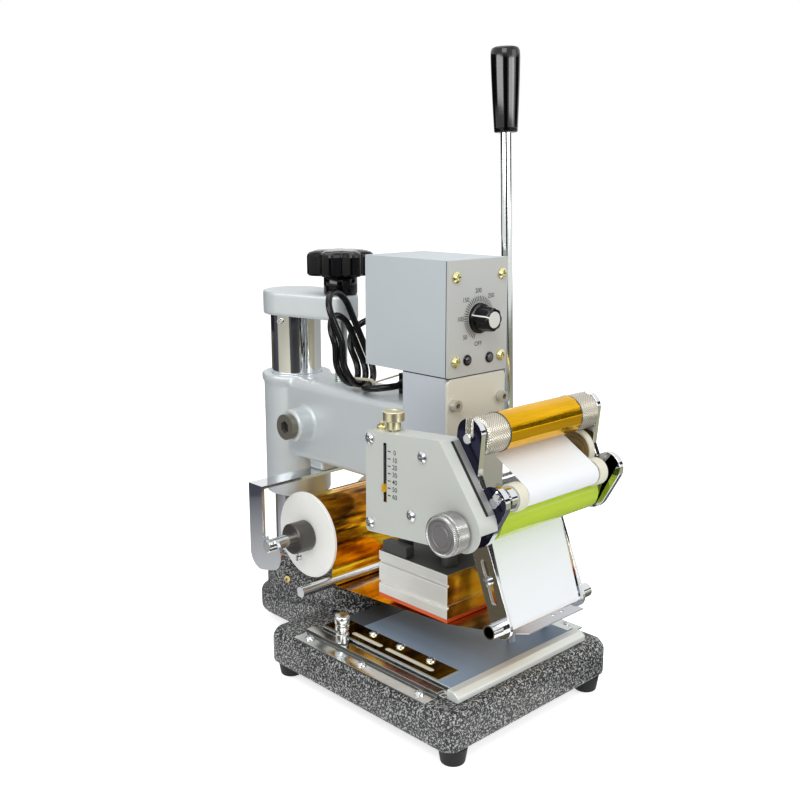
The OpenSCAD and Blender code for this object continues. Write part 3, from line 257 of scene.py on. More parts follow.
def merged(node):
    """A copy of a CAD node's mesh with its loose triangles joined up."""
    bm = bmesh.new()
    bm.from_mesh(frame["nodes"][node].data)
    bmesh.ops.remove_doubles(bm, verts=bm.verts, dist=2e-6)
    bmesh.ops.dissolve_limit(bm, angle_limit=radians(0.8), verts=bm.verts, edges=bm.edges)
    return bm


def softened(node, look, edge=0.4, segments=2):
    """The CAD node with rounded edges, standing for it."""
    made = piece(node + "_soft", merged(node), look, body_of_node[node], [node], sharp=SOFT_ANGLE)
    rounding = made.modifiers.new("rounding", "BEVEL")
    rounding.width, rounding.segments, rounding.limit_method = edge * MM, segments, "ANGLE"
    rounding.angle_limit = radians(SOFT_ANGLE)
    rounding.harden_normals, rounding.use_clamp_overlap = True, True
    return made


def soften_all(*rows):
    """Softened copies by the name of their node, from (node, finish, edge) rows."""
    return {node: softened(node, look, edge) for node, look, edge in rows}


def cast(node, look, voxel, passes):
    """The CAD node as a casting: remeshed and smoothed, so that every edge and inner corner is round."""
    bm = merged(node)
    bmesh.ops.triangulate(bm, faces=bm.faces)
    made = piece(node + "_cast", bm, look, body_of_node[node], [node], sharp=60)
    skin = made.modifiers.new("skin", "REMESH")
    skin.mode, skin.voxel_size, skin.use_smooth_shade = "VOXEL", voxel * MM, True
    soft = made.modifiers.new("soft", "SMOOTH")
    soft.factor, soft.iterations = 0.5, passes
    return made


def coat(node, look):
    """A CAD node keeps its shape and gets a finish."""
    for slot in frame["nodes"][node].material_slots:
        slot.material = look


def by_place(made, looks, choose):
    """More finishes for one piece: a rule picks each face's finish from its middle and its outward way."""
    for look in looks:
        made.data.materials.append(look)
    for face in made.data.polygons:
        face.material_index = int(choose(face.center, face.normal))


print("edges steeper than", SOFT_ANGLE, "degrees are softened")

# %% [markdown]
# ## Shared effects
# Several finishes share the same small signs of life: clouds in the colour, patches of gloss, fine grain,
# brushed streaks, knurls and threads. Each could be built again in every material, but a node group with
# named sockets is built once and placed in many.

# %% Node helpers
def srgb(red, green, blue):
    """A colour as seen on a screen, as the linear colour that shaders use."""
    shares = [c / 255 for c in (red, green, blue)]
    return tuple(s / 12.92 if s < 0.04045 else ((s + 0.055) / 1.055) ** 2.4 for s in shares) + (1,)


def add(tree, kind, inputs=None, **settings):
    """A node with its settings, and its inputs set or linked."""
    node = tree.nodes.new(kind)
    for key, value in settings.items():
        setattr(node, key, value)
    for key, value in (inputs or {}).items():
        if isinstance(value, bpy.types.NodeSocket):
            tree.links.new(value, node.inputs[key])
        else:
            node.inputs[key].default_value = value
    return node


def calc(tree, operation, *values):
    """A Math node's result."""
    return add(tree, "ShaderNodeMath", dict(enumerate(values)), operation=operation).outputs[0]


def noise(tree, **inputs):
    """A noise pattern's value."""
    return add(tree, "ShaderNodeTexNoise", inputs).outputs[0]


def spot(tree):
    """The place of the shaded point on its object."""
    return add(tree, "ShaderNodeTexCoord").outputs["Object"]


def span(tree, value, low, high, to_low, to_high):
    """A value taken from one range to another."""
    inputs = {"Value": value, "From Min": low, "From Max": high, "To Min": to_low, "To Max": to_high}
    return add(tree, "ShaderNodeMapRange", inputs).outputs[0]


def ramp(tree, value, *stops):
    """A colour ramp through (place, colour) stops."""
    node = add(tree, "ShaderNodeValToRGB", {"Fac": value})
    for number, (place, colour) in enumerate(stops):
        stop = node.color_ramp.elements[number] if number < 2 else node.color_ramp.elements.new(place)
        stop.position, stop.color = place, srgb(*colour)
    return node.outputs["Color"]


def shade(tree, colour, amount):
    """A colour made lighter or darker by a varying amount round 1."""
    return add(tree, "ShaderNodeHueSaturation", {"Color": colour, "Value": amount}).outputs["Color"]


def effect(name, inputs, outputs):
    """An empty node group with named sockets, its input node and its output node."""
    tree = bpy.data.node_groups.new(name, "ShaderNodeTree")
    for label, value in inputs.items():
        kind = {3: "Vector", 4: "Color"}[len(value)] if isinstance(value, tuple) else "Float"
        socket = tree.interface.new_socket(name=label, in_out="INPUT", socket_type="NodeSocket" + kind)
        socket.default_value = value
    for label, kind in outputs.items():
        tree.interface.new_socket(name=label, in_out="OUTPUT", socket_type="NodeSocket" + kind)
    return tree, tree.nodes.new("NodeGroupInput").outputs, tree.nodes.new("NodeGroupOutput").inputs


print("node helpers ready")

# %% Effects: surface life and brushing
GREY = (0.5, 0.5, 0.5, 1)
life, ins, outs = effect("surface_life", {"Colour": GREY, "Tint": 0.06, "Patch": 25, "Grain": 900,
                                          "Roughness": 0.4, "Spread": 0.1},
                         {"Colour": "Color", "Roughness": "Float", "Height": "Float"})
place = spot(life)
cloud = noise(life, Vector=place, Scale=ins["Patch"], Detail=4)
smear = noise(life, Vector=place, Scale=calc(life, "MULTIPLY", ins["Patch"], 3.1), Detail=6, Distortion=1.4)
grain = noise(life, Vector=place, Scale=ins["Grain"], Detail=2)
lift = calc(life, "MULTIPLY_ADD", calc(life, "SUBTRACT", cloud, 0.5), ins["Tint"], 1)
gloss = calc(life, "MULTIPLY_ADD", calc(life, "SUBTRACT", smear, 0.5), ins["Spread"], ins["Roughness"])
life.links.new(shade(life, ins["Colour"], lift), outs["Colour"])
life.links.new(gloss, outs["Roughness"])
life.links.new(grain, outs["Height"])

brush, ins, outs = effect("brushing", {"Stretch": (10, 600, 600), "Colour": GREY, "Depth": 0.1},
                          {"Colour": "Color", "Streak": "Float"})
stretched = add(brush, "ShaderNodeVectorMath", {0: spot(brush), 1: ins["Stretch"]}, operation="MULTIPLY")
streak = noise(brush, Vector=stretched.outputs[0], Scale=1, Detail=5, Roughness=0.65)
lift = calc(brush, "MULTIPLY_ADD", calc(brush, "SUBTRACT", streak, 0.5), ins["Depth"], 1)
brush.links.new(shade(brush, ins["Colour"], lift), outs["Colour"])
brush.links.new(streak, outs["Streak"])
print("effects:", life.name, brush.name)

# %% Effects: hammered speckle, knurl and thread
speckle, ins, outs = effect("hammered_speckle", {"Scale": 400}, {"Colour": "Color", "Height": "Float"})
worm = noise(speckle, Vector=spot(speckle), Scale=ins["Scale"], Detail=1.5, Roughness=0.4, Distortion=0.9)
flecks = ramp(speckle, worm, (0.46, (5, 5, 7)), (0.53, (15, 16, 17)), (0.57, (128, 130, 130)),
              (0.61, (196, 198, 197)), (0.72, (168, 170, 170)))
speckle.links.new(flecks, outs["Colour"])
speckle.links.new(worm, outs["Height"])


def round_the_axis(tree, point, centre):
    """Distance along X and angle round an axis that runs along X through a centre."""
    from_centre = add(tree, "ShaderNodeVectorMath", {0: point, 1: centre}, operation="SUBTRACT").outputs[0]
    parts = add(tree, "ShaderNodeSeparateXYZ", {0: from_centre}).outputs
    return parts["X"], calc(tree, "ARCTAN2", parts["Y"], parts["Z"])


knurl, ins, outs = effect("diamond_knurl", {"Point": (0, 0, 0), "Centre": (0, 0, 0), "Radius": 0.015,
                                            "Pitch": 0.0012}, {"Height": "Float"})
run, turn = round_the_axis(knurl, ins["Point"], ins["Centre"])
arc = calc(knurl, "MULTIPLY", turn, ins["Radius"])
waves = []
for slant in ("ADD", "SUBTRACT"):
    step = calc(knurl, "DIVIDE", calc(knurl, slant, run, arc), ins["Pitch"])
    waves.append(calc(knurl, "PINGPONG", step, 0.5))
knurl.links.new(calc(knurl, "MINIMUM", *waves), outs["Height"])

thread, ins, outs = effect("screw_thread", {"Point": (0, 0, 0), "Centre": (0, 0, 0), "Pitch": 0.00175},
                           {"Height": "Float"})
run, turn = round_the_axis(thread, ins["Point"], ins["Centre"])
lead = calc(thread, "ADD", calc(thread, "DIVIDE", run, ins["Pitch"]), calc(thread, "DIVIDE", turn, 2 * pi))
thread.links.new(calc(thread, "PINGPONG", lead, 0.5), outs["Height"])
print("effects:", speckle.name, knurl.name, thread.name)

# %% [markdown]
# ## Finishes
# The machine has cast iron under hammered paint, sheet in pale paint, plated and polished steel, rubber and
# gold film. Every finish starts as a Principled shader, gets the surface-life group for clouds, gloss patches
# and grain, and may add brushing, a knurl or a thread. One function builds them, so a finish is one readable
# line: a name, a colour, a roughness, how metallic it is, and what differs from the usual.

# %% One way to make a finish
def placed(tree, group, inputs):
    """An effect placed in a material."""
    return add(tree, "ShaderNodeGroup", inputs, node_tree=group).outputs


def finish(name, colour, roughness, metallic=0.0, tint=0.06, patch=25, grain=900, spread=0.1, bump=0.1,
           depth=0.02, brushed=None, brush_depth=0.2, relief=None, relief_depth=0.2, groove_shade=0.0, specular=0.5,
           **sockets):
    """A material: colour, gloss and grain that vary over the surface, and perhaps brushing or a relief whose
    grooves may get painted shade.
    """
    made = bpy.data.materials.new(name)
    made.use_nodes = True
    tree = made.node_tree
    shader = tree.nodes["Principled BSDF"]
    shader.inputs["Metallic"].default_value = metallic
    shader.inputs["Specular IOR Level"].default_value = specular
    for label, value in sockets.items():
        shader.inputs[label.replace("_", " ").title()].default_value = value
    alive = placed(tree, life, {"Colour": srgb(*colour), "Tint": tint, "Patch": patch, "Grain": grain,
                                "Roughness": roughness, "Spread": spread})
    shown, height = alive["Colour"], alive["Height"]
    if brushed:
        hairline = placed(tree, brush, {"Stretch": brushed, "Colour": shown, "Depth": brush_depth})
        shown, height = hairline["Colour"], hairline["Streak"]
    dents = add(tree, "ShaderNodeBump", {"Height": height, "Strength": bump, "Distance": depth * MM})
    if relief:
        group, inputs, turn_to_x = relief
        point = spot(tree)
        if turn_to_x:
            quarter = (0, radians(90), 0)
            point = add(tree, "ShaderNodeMapping", {"Vector": point, "Rotation": quarter}).outputs[0]
        cut = placed(tree, group, dict(inputs, Point=point))["Height"]
        # painted shade: the colour is darkened where the relief cuts deepest
        shown = shade(tree, shown, span(tree, cut, 0, 0.25, 1 - groove_shade, 1))
        dents = add(tree, "ShaderNodeBump", {"Height": cut, "Strength": 1, "Distance": relief_depth * MM,
                                             "Normal": dents.outputs[0]})
    tree.links.new(shown, shader.inputs["Base Color"])
    tree.links.new(alive["Roughness"], shader.inputs["Roughness"])
    tree.links.new(dents.outputs[0], shader.inputs["Normal"])
    return made


print("finish maker ready")

# %% Finishes of the base, post and arm
hammertone = bpy.data.materials.new("hammertone")
hammertone.use_nodes = True
tree = hammertone.node_tree
shader = tree.nodes["Principled BSDF"]
shader.inputs["Roughness"].default_value = 0.42
worms = placed(tree, speckle, {"Scale": 620})
blisters = add(tree, "ShaderNodeBump", {"Height": worms["Height"], "Strength": 0.5, "Distance": 0.4 * MM})
tree.links.new(worms["Colour"], shader.inputs["Base Color"])
tree.links.new(blisters.outputs[0], shader.inputs["Normal"])

silver_paint = finish("silver_paint", (206, 212, 214), 0.36, 0.25, tint=0.1, patch=18, grain=1400, bump=0.25,
                      depth=0.05)
chrome = finish("chrome", (226, 228, 231), 0.07, 1.0, tint=0.04, patch=40, grain=2500, spread=0.06, bump=0.03)
bright_steel = finish("bright_steel", (212, 213, 212), 0.2, 1.0, tint=0.08, patch=60, spread=0.16, bump=0.08)
zinc = finish("zinc", (214, 217, 219), 0.22, 1.0, tint=0.12, patch=90, spread=0.18)
# dark steel: the collars' own colour, also painted shade in gaps and under steps and a painted dark reflection
# on the rails' sides
dark_steel_and_shade = finish("dark_steel_and_shade", (92, 90, 86), 0.35, 0.8, tint=0.2, patch=120, spread=0.2, bump=0.15)
black_rubber = finish("black_rubber", (24, 24, 25), 0.62, specular=0.3, tint=0.2, patch=60, grain=1500,
                      bump=0.25, depth=0.05)
gloss_black = finish("gloss_black", (6, 6, 8), 0.12, specular=0.3, tint=0.2, patch=30, bump=0.04)
grip_black = finish("grip_black", (5, 5, 8), 0.1, tint=0.2, patch=30, spread=0.06, bump=0.03)
cord_black = finish("cord_black", (9, 9, 10), 0.26, specular=0.3, tint=0.2, patch=60, spread=0.15, bump=0.15)
tie_cream = finish("tie_cream", (214, 208, 184), 0.55, tint=0.1)
SCREW_AXIS, SCREW_PITCH = (0, 0.131, 0), 0.00175
height_thread = finish("height_thread", (158, 164, 162), 0.3, 0.9, tint=0.1, relief_depth=0.5,
                       relief=(thread, {"Centre": SCREW_AXIS, "Pitch": SCREW_PITCH}, True))
print("finishes so far:", len(bpy.data.materials))

# %% Finishes of the head
cover_blue = finish("cover_blue", (192, 200, 205), 0.42, 0.05, tint=0.07, patch=14, grain=2200, bump=0.12)
panel_champagne = finish("panel_champagne", (190, 192, 190), 0.42, 0.05, patch=16, grain=2000, bump=0.12)
housing_grey = finish("housing_grey", (200, 206, 214), 0.38, 0.05, tint=0.08, patch=20, grain=2000, bump=0.12)
plate_cream = finish("plate_cream", (224, 223, 212), 0.4, 0.1, patch=16, grain=2000, bump=0.12)
casing_grey = finish("casing_grey", (202, 206, 200), 0.36, 0.05, tint=0.05, patch=15, grain=2000)
# near-black painted shade: fills screw sockets, seams, gaps, the casing's inside and its slot, where shade
# falls
painted_shade_black = finish("painted_shade_black", (8, 8, 8), 0.8, tint=0.2, bump=0.05)
yellow_zinc = finish("yellow_zinc", (232, 226, 176), 0.22, 1.0, tint=0.2, patch=150, spread=0.15)
brass = finish("brass", (206, 190, 140), 0.26, 1.0, tint=0.15, patch=120, spread=0.18)
pointer_brass = finish("pointer_brass", (226, 176, 40), 0.4, 0.4, tint=0.2, patch=200)
bolt_steel = finish("bolt_steel", (134, 130, 118), 0.34, 0.7, tint=0.15, patch=100, spread=0.18, bump=0.12)
socket_steel = finish("socket_steel", (190, 188, 178), 0.34, 0.45, tint=0.12, patch=90, spread=0.16)
lever_steel = finish("lever_steel", (214, 219, 217), 0.1, 1.0, tint=0.05, patch=40, spread=0.06, bump=0.03)
print("finishes so far:", len(bpy.data.materials))

# %% Finishes of the table and heater
table_blue = finish("table_blue", (140, 160, 182), 0.42, 0.05, tint=0.1, patch=20, spread=0.14,
                    brushed=(30, 900, 900), brush_depth=0.06, bump=0.05)
gauge_mirror = finish("gauge_mirror", (222, 206, 160), 0.07, 1.0, tint=0.1, patch=30, bump=0.04)
warm_bar = finish("warm_bar", (232, 236, 232), 0.32, 0.25, tint=0.08, patch=24, spread=0.15,
                  brushed=(8, 700, 700), brush_depth=0.16)
rail_steel = finish("rail_steel", (200, 204, 202), 0.16, 1.0, tint=0.1, patch=40, spread=0.14,
                    brushed=(700, 8, 700), brush_depth=0.15, bump=0.06)
lay_white = finish("lay_white", (205, 207, 214), 0.3, 0.5, patch=20, spread=0.12, bump=0.06)
heater_satin = finish("heater_satin", (240, 240, 236), 0.36, 0.5, tint=0.1, patch=40, spread=0.2,
                      brushed=(700, 6, 500), brush_depth=0.15)
heater_mirror = finish("heater_mirror", (168, 146, 100), 0.12, 1.0, tint=0.12, patch=40, bump=0.04)
# dark insulator board; the same finish is also painted shade on the heater's top face
insulator_and_shade_dark = finish("insulator_and_shade_dark", (66, 67, 64), 0.5, tint=0.15, patch=60, grain=1500, bump=0.3,
                        depth=0.05)
silicone = finish("silicone", (224, 92, 44), 0.5, tint=0.1, patch=40)
print("finishes so far:", len(bpy.data.materials))

# %% Finishes of the rollers and the foil
WHITE = (1, 1, 1, 1)
roller_lime = finish("roller_lime", (188, 214, 52), 0.24, tint=0.12, patch=22, bump=0.05, coat_weight=0.4)
cream_rubber = finish("cream_rubber", (226, 223, 205), 0.5, tint=0.08, patch=80, bump=0.15)
wheel_brown = finish("wheel_brown", (138, 112, 70), 0.35, 0.5, tint=0.2, patch=70, bump=0.15)
# the carrier's faint emission is painted light: the strip is no lamp
glowing_carrier_white = finish("glowing_carrier_white", (231, 235, 239), 0.55, tint=0.03, patch=12, grain=1800, bump=0.06,
                       emission_color=WHITE, emission_strength=0.07)
# the discs' faint emission is painted light to lift them out of shade; they are no lamps
glowing_flange_white = finish("glowing_flange_white", (244, 244, 239), 0.35, tint=0.03, bump=0.05, emission_color=WHITE,
                      emission_strength=0.1)
foil_gold = finish("foil_gold", (236, 172, 14), 0.1, 0.95, tint=0.35, patch=14, spread=0.08,
                   brushed=(3, 260, 260), brush_depth=0.5, bump=0.3, depth=0.3)
tree = foil_gold.node_tree
# painted reflections: streaks from dark brown to bright yellow in the foil's colour stand for what it mirrors
reflection_streaks = placed(tree, brush, {"Stretch": (8, 32, 32), "Colour": WHITE, "Depth": 0})["Streak"]
painted_reflections = ramp(tree, reflection_streaks, (0.34, (46, 26, 4)), (0.43, (150, 92, 8)), (0.52, (226, 160, 14)),
            (0.62, (255, 214, 46)))
tree.links.new(painted_reflections, tree.nodes["Principled BSDF"].inputs["Base Color"])
film_amber = finish("film_amber", (232, 176, 4), 0.14, 0.92, tint=0.3, patch=40, brushed=(12, 140, 140),
                    brush_depth=0.7, bump=0.3, depth=0.6)
takeup_knurl = {"Centre": (0, -0.1065, 0.265), "Radius": 0.0155, "Pitch": 0.0024}
knurled_champagne = finish("knurled_champagne", (222, 216, 200), 0.3, 0.9, tint=0.1, patch=60, spread=0.12,
                           relief=(knurl, takeup_knurl, False), relief_depth=0.6, groove_shade=0.65)
knob_knurl = {"Centre": (0, -0.1135, 0.198), "Radius": 0.0165, "Pitch": 0.0015}
knob_rim = finish("knob_rim", (176, 176, 174), 0.24, 1.0, tint=0.08, patch=80, spread=0.12,
                  relief=(knurl, knob_knurl, False), relief_depth=0.35, groove_shade=0.35)
knob_face = finish("knob_face", (146, 144, 146), 0.32, 0.6, tint=0.12, patch=80, spread=0.15)
print("finishes:", len(bpy.data.materials))

# %% [markdown]
# ## Base, feet and post
# The base and its tongue are one iron casting under hammertone paint, and the arm and the post's cap are
# cast too. Castings have no sharp edge anywhere, so these copies are remeshed and smoothed; the chrome post
# stays as turned. The rails are bright on top, and their upright faces carry a painted dark reflection.

# %% Castings, post and rails
base = cast("base_casting", hammertone, 1.6, 6)
cap = cast("post_cap", silver_paint, 1.2, 14)
arm = cast("arm_casting", silver_paint, 1.3, 14)
coat("post", chrome)
softened("rubber_feet", black_rubber, 1.5, 3)
rails = softened("slide_rails", rail_steel, 0.35)
# upright rail faces: painted dark reflection of the base they face
by_place(rails, [dark_steel_and_shade], lambda at, out: abs(out.x) > 0.8)
softened("base_screws", zinc, 0.25)
print("base pieces:", base.name, cap.name, arm.name, rails.name)

# %% Set screw of the post
POST_Y, SET_SCREW_Z, SET_SCREW_TURN = 201, 58.5, 34
plug_profile = [(0, -43.4), (1.9, -43.4), (2.1, -45.4), (3.2, -45.6), (3.8, -45), (3.8, -34), (0, -34)]
plug = turned(plug_profile, "X", steps=32)
screw_turn = Matrix.Rotation(radians(SET_SCREW_TURN), 4, "Z")
put(plug, Matrix.Translation(mm(0, POST_Y, SET_SCREW_Z)) @ screw_turn)
piece("set_screw_head", plug, brass, "base")
print("set screw", SET_SCREW_Z, "mm up")

# %% [markdown]
# ## Sliding table
# A blue table plate with bright ends rides on a steel carriage. A mirror-bright gauge plate is screwed on it,
# with a side lay, and a bar closes the front. The CAD solids have the right outlines, so each copy only gets
# rounded edges and a finish; the plate's ends and the gauge's screws are told apart by the place of their
# faces. Slot floors, rear strip and a black seam of painted shade are thin plates laid on the table.

# %% Table
table = soften_all(("table_carriage", bright_steel, 0.4), ("table_plate", table_blue, 0.5),
                   ("front_bar", warm_bar, 0.6), ("gauge_plate", gauge_mirror, 0.2),
                   ("side_lay", lay_white, 0.25))
widest = max(table["gauge_plate"].data.polygons, key=lambda face: face.area * (face.normal.z > 0.9))
over_gauge = widest.center.z + 0.1 * MM
by_place(table["gauge_plate"], [zinc], lambda at, out: at.z > over_gauge)
by_place(table["table_plate"], [bright_steel], lambda at, out: abs(out.x) > 0.6)
print("table pieces:", ", ".join(table))

# %% Lock nut
lock_x, lock_y, _ = middle("lock_nut")
lock_z = corners("lock_nut")[0][2]
lock_profile = [(0, 0), (5.2, 0), (6, 0.8), (6, 8.4), (5.2, 9.2), (4.2, 9.6), (4.2, 11.4), (5.4, 12),
                (6.3, 12.6), (6.3, 16), (5.2, 16.6), (5.2, 17.8), (6.6, 18.4), (6.9, 19), (6.9, 24.6),
                (6.2, 25.6), (4.4, 26), (0, 26)]
lock_nut = turned(lock_profile, "Z", (lock_x, lock_y, lock_z))
piece("lock_thumb_nut", lock_nut, bright_steel, "table_lock", ["lock_nut"])
print("lock nut at", round(lock_x, 1), round(lock_y, 1))

# %% Slot floors, rear strip and the painted shade of the seam
SINK, LIFT = 0.3, 0.04
SLOT_LEFT, SLOT_RIGHT, SLOT_RUNS = 5.3, 10.7, ((13, 72), (76, 116))
SEAM_Y, STRIP_Y = 43.8, 44.6
(left, _, _), (right, back, top) = corners("table_plate")
gauge_x, gauge_y, _ = corners("gauge_plate")[0]
slot_bright = finish("slot_bright", (214, 214, 208), 0.35, patch=40, bump=0.05)
slot_left, slot_right = gauge_x + SLOT_LEFT, gauge_x + SLOT_RIGHT
floors = [plate((slot_left, gauge_y + a, top - SINK), (slot_right, gauge_y + b, top + LIFT))
          for a, b in SLOT_RUNS]
piece("gauge_slot_floors", together(*floors), slot_bright, "table")
rear_dark = finish("rear_dark", (84, 88, 94), 0.4, 0.1, tint=0.1, patch=30, bump=0.05)
strip = plate((left + SINK, STRIP_Y, top - SINK), (right - SINK, back - SINK, top + 0.03))
piece("table_rear_strip", strip, rear_dark, "table")
# a black sheet of painted shade along the seam between plate and rear strip
seam = plate((left + SINK, SEAM_Y, top - SINK), (right - SINK, STRIP_Y, top + LIFT))
piece("table_seam_shade", seam, painted_shade_black, "table")
print("slots in the gauge plate:", len(floors))

# %% [markdown]
# ## Head, control box and heater
# Bent sheet and machined blocks. The sheet-metal box shows a thin light line at each fold, which the small
# rounded edges give. The screws are one CAD node, and so is each heater block, but they show several metals
# and painted shade: rules on the place of a face pick them, which is less work than cutting the meshes up.

# %% Head and heater
head = soften_all(
    ("ram_housing", housing_grey, 0.6), ("front_plate", plate_cream, 0.7), ("control_cover", cover_blue, 0.9),
    ("control_panel", panel_champagne, 0.5), ("panel_screws", yellow_zinc, 0.3),
    ("arm_screws", socket_steel, 0.3), ("heater_block", heater_satin, 0.6), ("die_plate", heater_satin, 0.5),
    ("silicone_pad", silicone, 0.4), ("insulators", insulator_and_shade_dark, 0.6), ("cable_gland", black_rubber, 0.5),
    ("mains_plug", cord_black, 1.2), ("cord_tie", tie_cream, 0.3), ("supply_yoke", chrome, 0.5),
    ("guide_arms", chrome, 0.35), ("bracket_spacers", bright_steel, 0.4), ("lever_shaft", bright_steel, 0.5))
mains_lead.data.materials.append(cord_black)
for node, look in (("ram", bright_steel), ("return_spring", zinc), ("thermostat", glowing_flange_white),
                   ("cartridge_heaters", zinc), ("guide_rods", chrome), ("height_screw", height_thread),
                   ("lever_rod", lever_steel), ("drive_shaft", bright_steel), ("press_shaft", chrome),
                   ("feed_pointer", pointer_brass)):
    coat(node, look)
print("head pieces softened:", len(head))

# %% Screws and heater faces
FRONT, BOLT, PAN, SOCKET_SHADE = range(4)
SIDE, SHADED_TOP, MIRROR, STEP_SHADE = range(4)
BEHIND_HEAD, PLATE_FOOT, PLATE_HALF = 100 * MM, 200 * MM, 60 * MM
front_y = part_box("front_plate")[0].y
bolt_x = min(v.co.x for v in head["arm_screws"].data.vertices if v.co.y > BEHIND_HEAD)
heater_low, heater_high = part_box("heater_block")


def screw_metal(at, out):
    """The clamp bolt behind and the front plate's screws, with black painted shade in their sockets, and pan
    heads elsewhere.
    """
    if at.y > BEHIND_HEAD:
        return SOCKET_SHADE if out.x < -0.9 and at.x > bolt_x + 1 * MM else BOLT
    if at.z > PLATE_FOOT and abs(at.y - front_y) < 8 * MM and abs(at.x) < PLATE_HALF:
        return SOCKET_SHADE if out.y < -0.9 and at.y > front_y - 5 * MM else FRONT
    return PAN


def heater_metal(at, out):
    """Painted shade on the top face, mirror-bright fronts, painted shade under the steps, and satin sides."""
    if out.z > 0.9 and at.z > heater_high.z - 0.2 * MM:
        return SHADED_TOP
    if out.y < -0.9:
        return MIRROR
    return STEP_SHADE if abs(out.x) > 0.1 and out.z < -0.2 and at.z > heater_low.z + 3 * MM else SIDE


by_place(head["arm_screws"], [bolt_steel, zinc, painted_shade_black], screw_metal)
for node in ("heater_block", "die_plate"):
    by_place(head[node], [insulator_and_shade_dark, heater_mirror, dark_steel_and_shade], heater_metal)
print("clamp bolt's face at", round(bolt_x / MM, 1))

# %% Painted shade in the seams of the control box
(left, front, foot), (_, _, top) = corners("control_cover")
housing_back = corners("ram_housing")[1][1]
# thin black strips of painted shade where the cover meets the panel and the housing
seams = [plate((left - LIFT, front - 0.35, foot + 0.4), (left + 0.5, front + 0.35, top - 0.6)),
         plate((left - 0.03, front - 2.6, foot - 0.7), (left + 0.6, housing_back, foot + 0.3)),
         plate((left + 0.3, front - 2.7, foot - 0.6), (-left - 0.3, front - 1.5, foot + 0.3))]
piece("cover_seam_shade", together(*seams), painted_shade_black, "arm")
print("seams of the control box:", len(seams))

# %% [markdown]
# ## Print
# Dial and scale are printed in black. An image could carry print, but it blurs close up, so text and ticks
# are flat meshes laid a few hundredths of a millimetre on the sheet. Only plain numbers and OFF are set.

# %% Print helpers
ink = finish("ink", (16, 15, 14), 0.5, tint=0.1, bump=0.02)
BOLD = 0.06


def printed(name, words, size, place):
    """Flat lettering, made a mesh, then put in place by a matrix."""
    data = bpy.data.curves.new(name, "FONT")
    data.body, data.size, data.align_x, data.align_y = words, size * MM, "CENTER", "CENTER"
    data.offset = BOLD * MM
    source = bpy.data.objects.new(name, data)
    scene.collection.objects.link(source)
    bpy.context.view_layer.update()
    mesh = bpy.data.meshes.new_from_object(source.evaluated_get(bpy.context.evaluated_depsgraph_get()))
    bm = bmesh.new()
    bm.from_mesh(mesh)
    bpy.data.objects.remove(source)
    bpy.data.curves.remove(data)
    bpy.data.meshes.remove(mesh)
    return put(bm, place)


def tick(length, width, place):
    """A short printed line, centred, lying along its own X."""
    bm = bmesh.new()
    bmesh.ops.create_grid(bm, x_segments=1, y_segments=1, size=0.5)
    bmesh.ops.scale(bm, verts=bm.verts, vec=mm(length, width, 1000))
    return put(bm, place)


print("print helpers ready, letters", BOLD, "mm bolder")

# %% Dial print on the panel
TICKS, FIRST_TICK, TICK_R = 33, 19.3, 15.9
NUMBERS, FIRST_NUMBER, NUMBER_R, NUMBER_SWING, TICKS_EACH = 5, 48, 22.6, 43, 6
TICK_L, TICK_W, NUMBER_H = 4.6, 0.85, 5.3
OFF_H, OFF_R, OFF_SWING = 5.2, 21.8, 2
panel_y = corners("control_panel")[0][1]
dial_x, _, dial_z = middle("dial_knob")
stand_front = Euler((radians(90), 0, 0)).to_matrix().to_4x4()
PRINT_Z = dial_z + 0.3


def round_dial(radius, swing):
    """A place on the panel, at an angle clockwise from the bottom of the dial."""
    a = radians(swing)
    at = mm(dial_x - radius * sin(a), panel_y - LIFT, PRINT_Z - radius * cos(a))
    return Matrix.Translation(at) @ stand_front


dial_print = []
for step in range(TICKS):
    degrees = FIRST_TICK + step * NUMBER_SWING / TICKS_EACH
    outward = Matrix.Rotation(radians(-90 - degrees), 4, "Z")
    dial_print.append(tick(TICK_L, TICK_W, round_dial(TICK_R, degrees) @ outward))
for step in range(NUMBERS):
    words = str(50 * (step + 1))
    at = round_dial(NUMBER_R, FIRST_NUMBER + step * NUMBER_SWING)
    dial_print.append(printed("number_" + words, words, NUMBER_H, at))
dial_print.append(printed("off_mark", "OFF", OFF_H, round_dial(OFF_R, OFF_SWING)))
piece("dial_print", together(*dial_print), ink, "arm")
print("dial print at", round(dial_x, 1), round(dial_z, 1))

# %% [markdown]
# ## The dial knob and the lamps
# The knob is a moulded skirt with a fluted grip, a white line and a spun-metal cap. A circle whose radius
# waves makes the fluted outline; extruding and scaling it gives the taper. The lamps are dark domes in rings.

# %% Fluted shapes
def only(kind, geom):
    """The verts, edges or faces among what an operator made."""
    return [g for g in geom if isinstance(g, kind)]


def fluted(outer, depth, count, heights, sharpness, segments=12):
    """A closed fluted solid: a waving circle, extruded up through (height, scale) steps."""
    bm = bmesh.new()
    bmesh.ops.create_circle(bm, cap_ends=True, segments=count * segments, radius=outer * MM)
    for vert in bm.verts:
        wave = (0.5 - 0.5 * cos(count * atan2(vert.co.y, vert.co.x))) ** sharpness
        vert.co *= 1 - depth / outer * wave
    bmesh.ops.scale(bm, verts=bm.verts, vec=(heights[0][1], heights[0][1], 1))
    bmesh.ops.translate(bm, verts=bm.verts, vec=mm(0, 0, heights[0][0]))
    last = heights[0]
    top = bm.faces[:]
    for height, scale in heights[1:]:
        grown = bmesh.ops.extrude_face_region(bm, geom=top)["geom"]
        verts = only(BMVert, grown)
        bmesh.ops.translate(bm, verts=verts, vec=mm(0, 0, height - last[0]))
        bmesh.ops.scale(bm, verts=verts, vec=(scale / last[1], scale / last[1], 1))
        top = only(BMFace, grown)
        last = (height, scale)
    bmesh.ops.recalc_face_normals(bm, faces=bm.faces)
    return bm


print("fluted shapes ready")

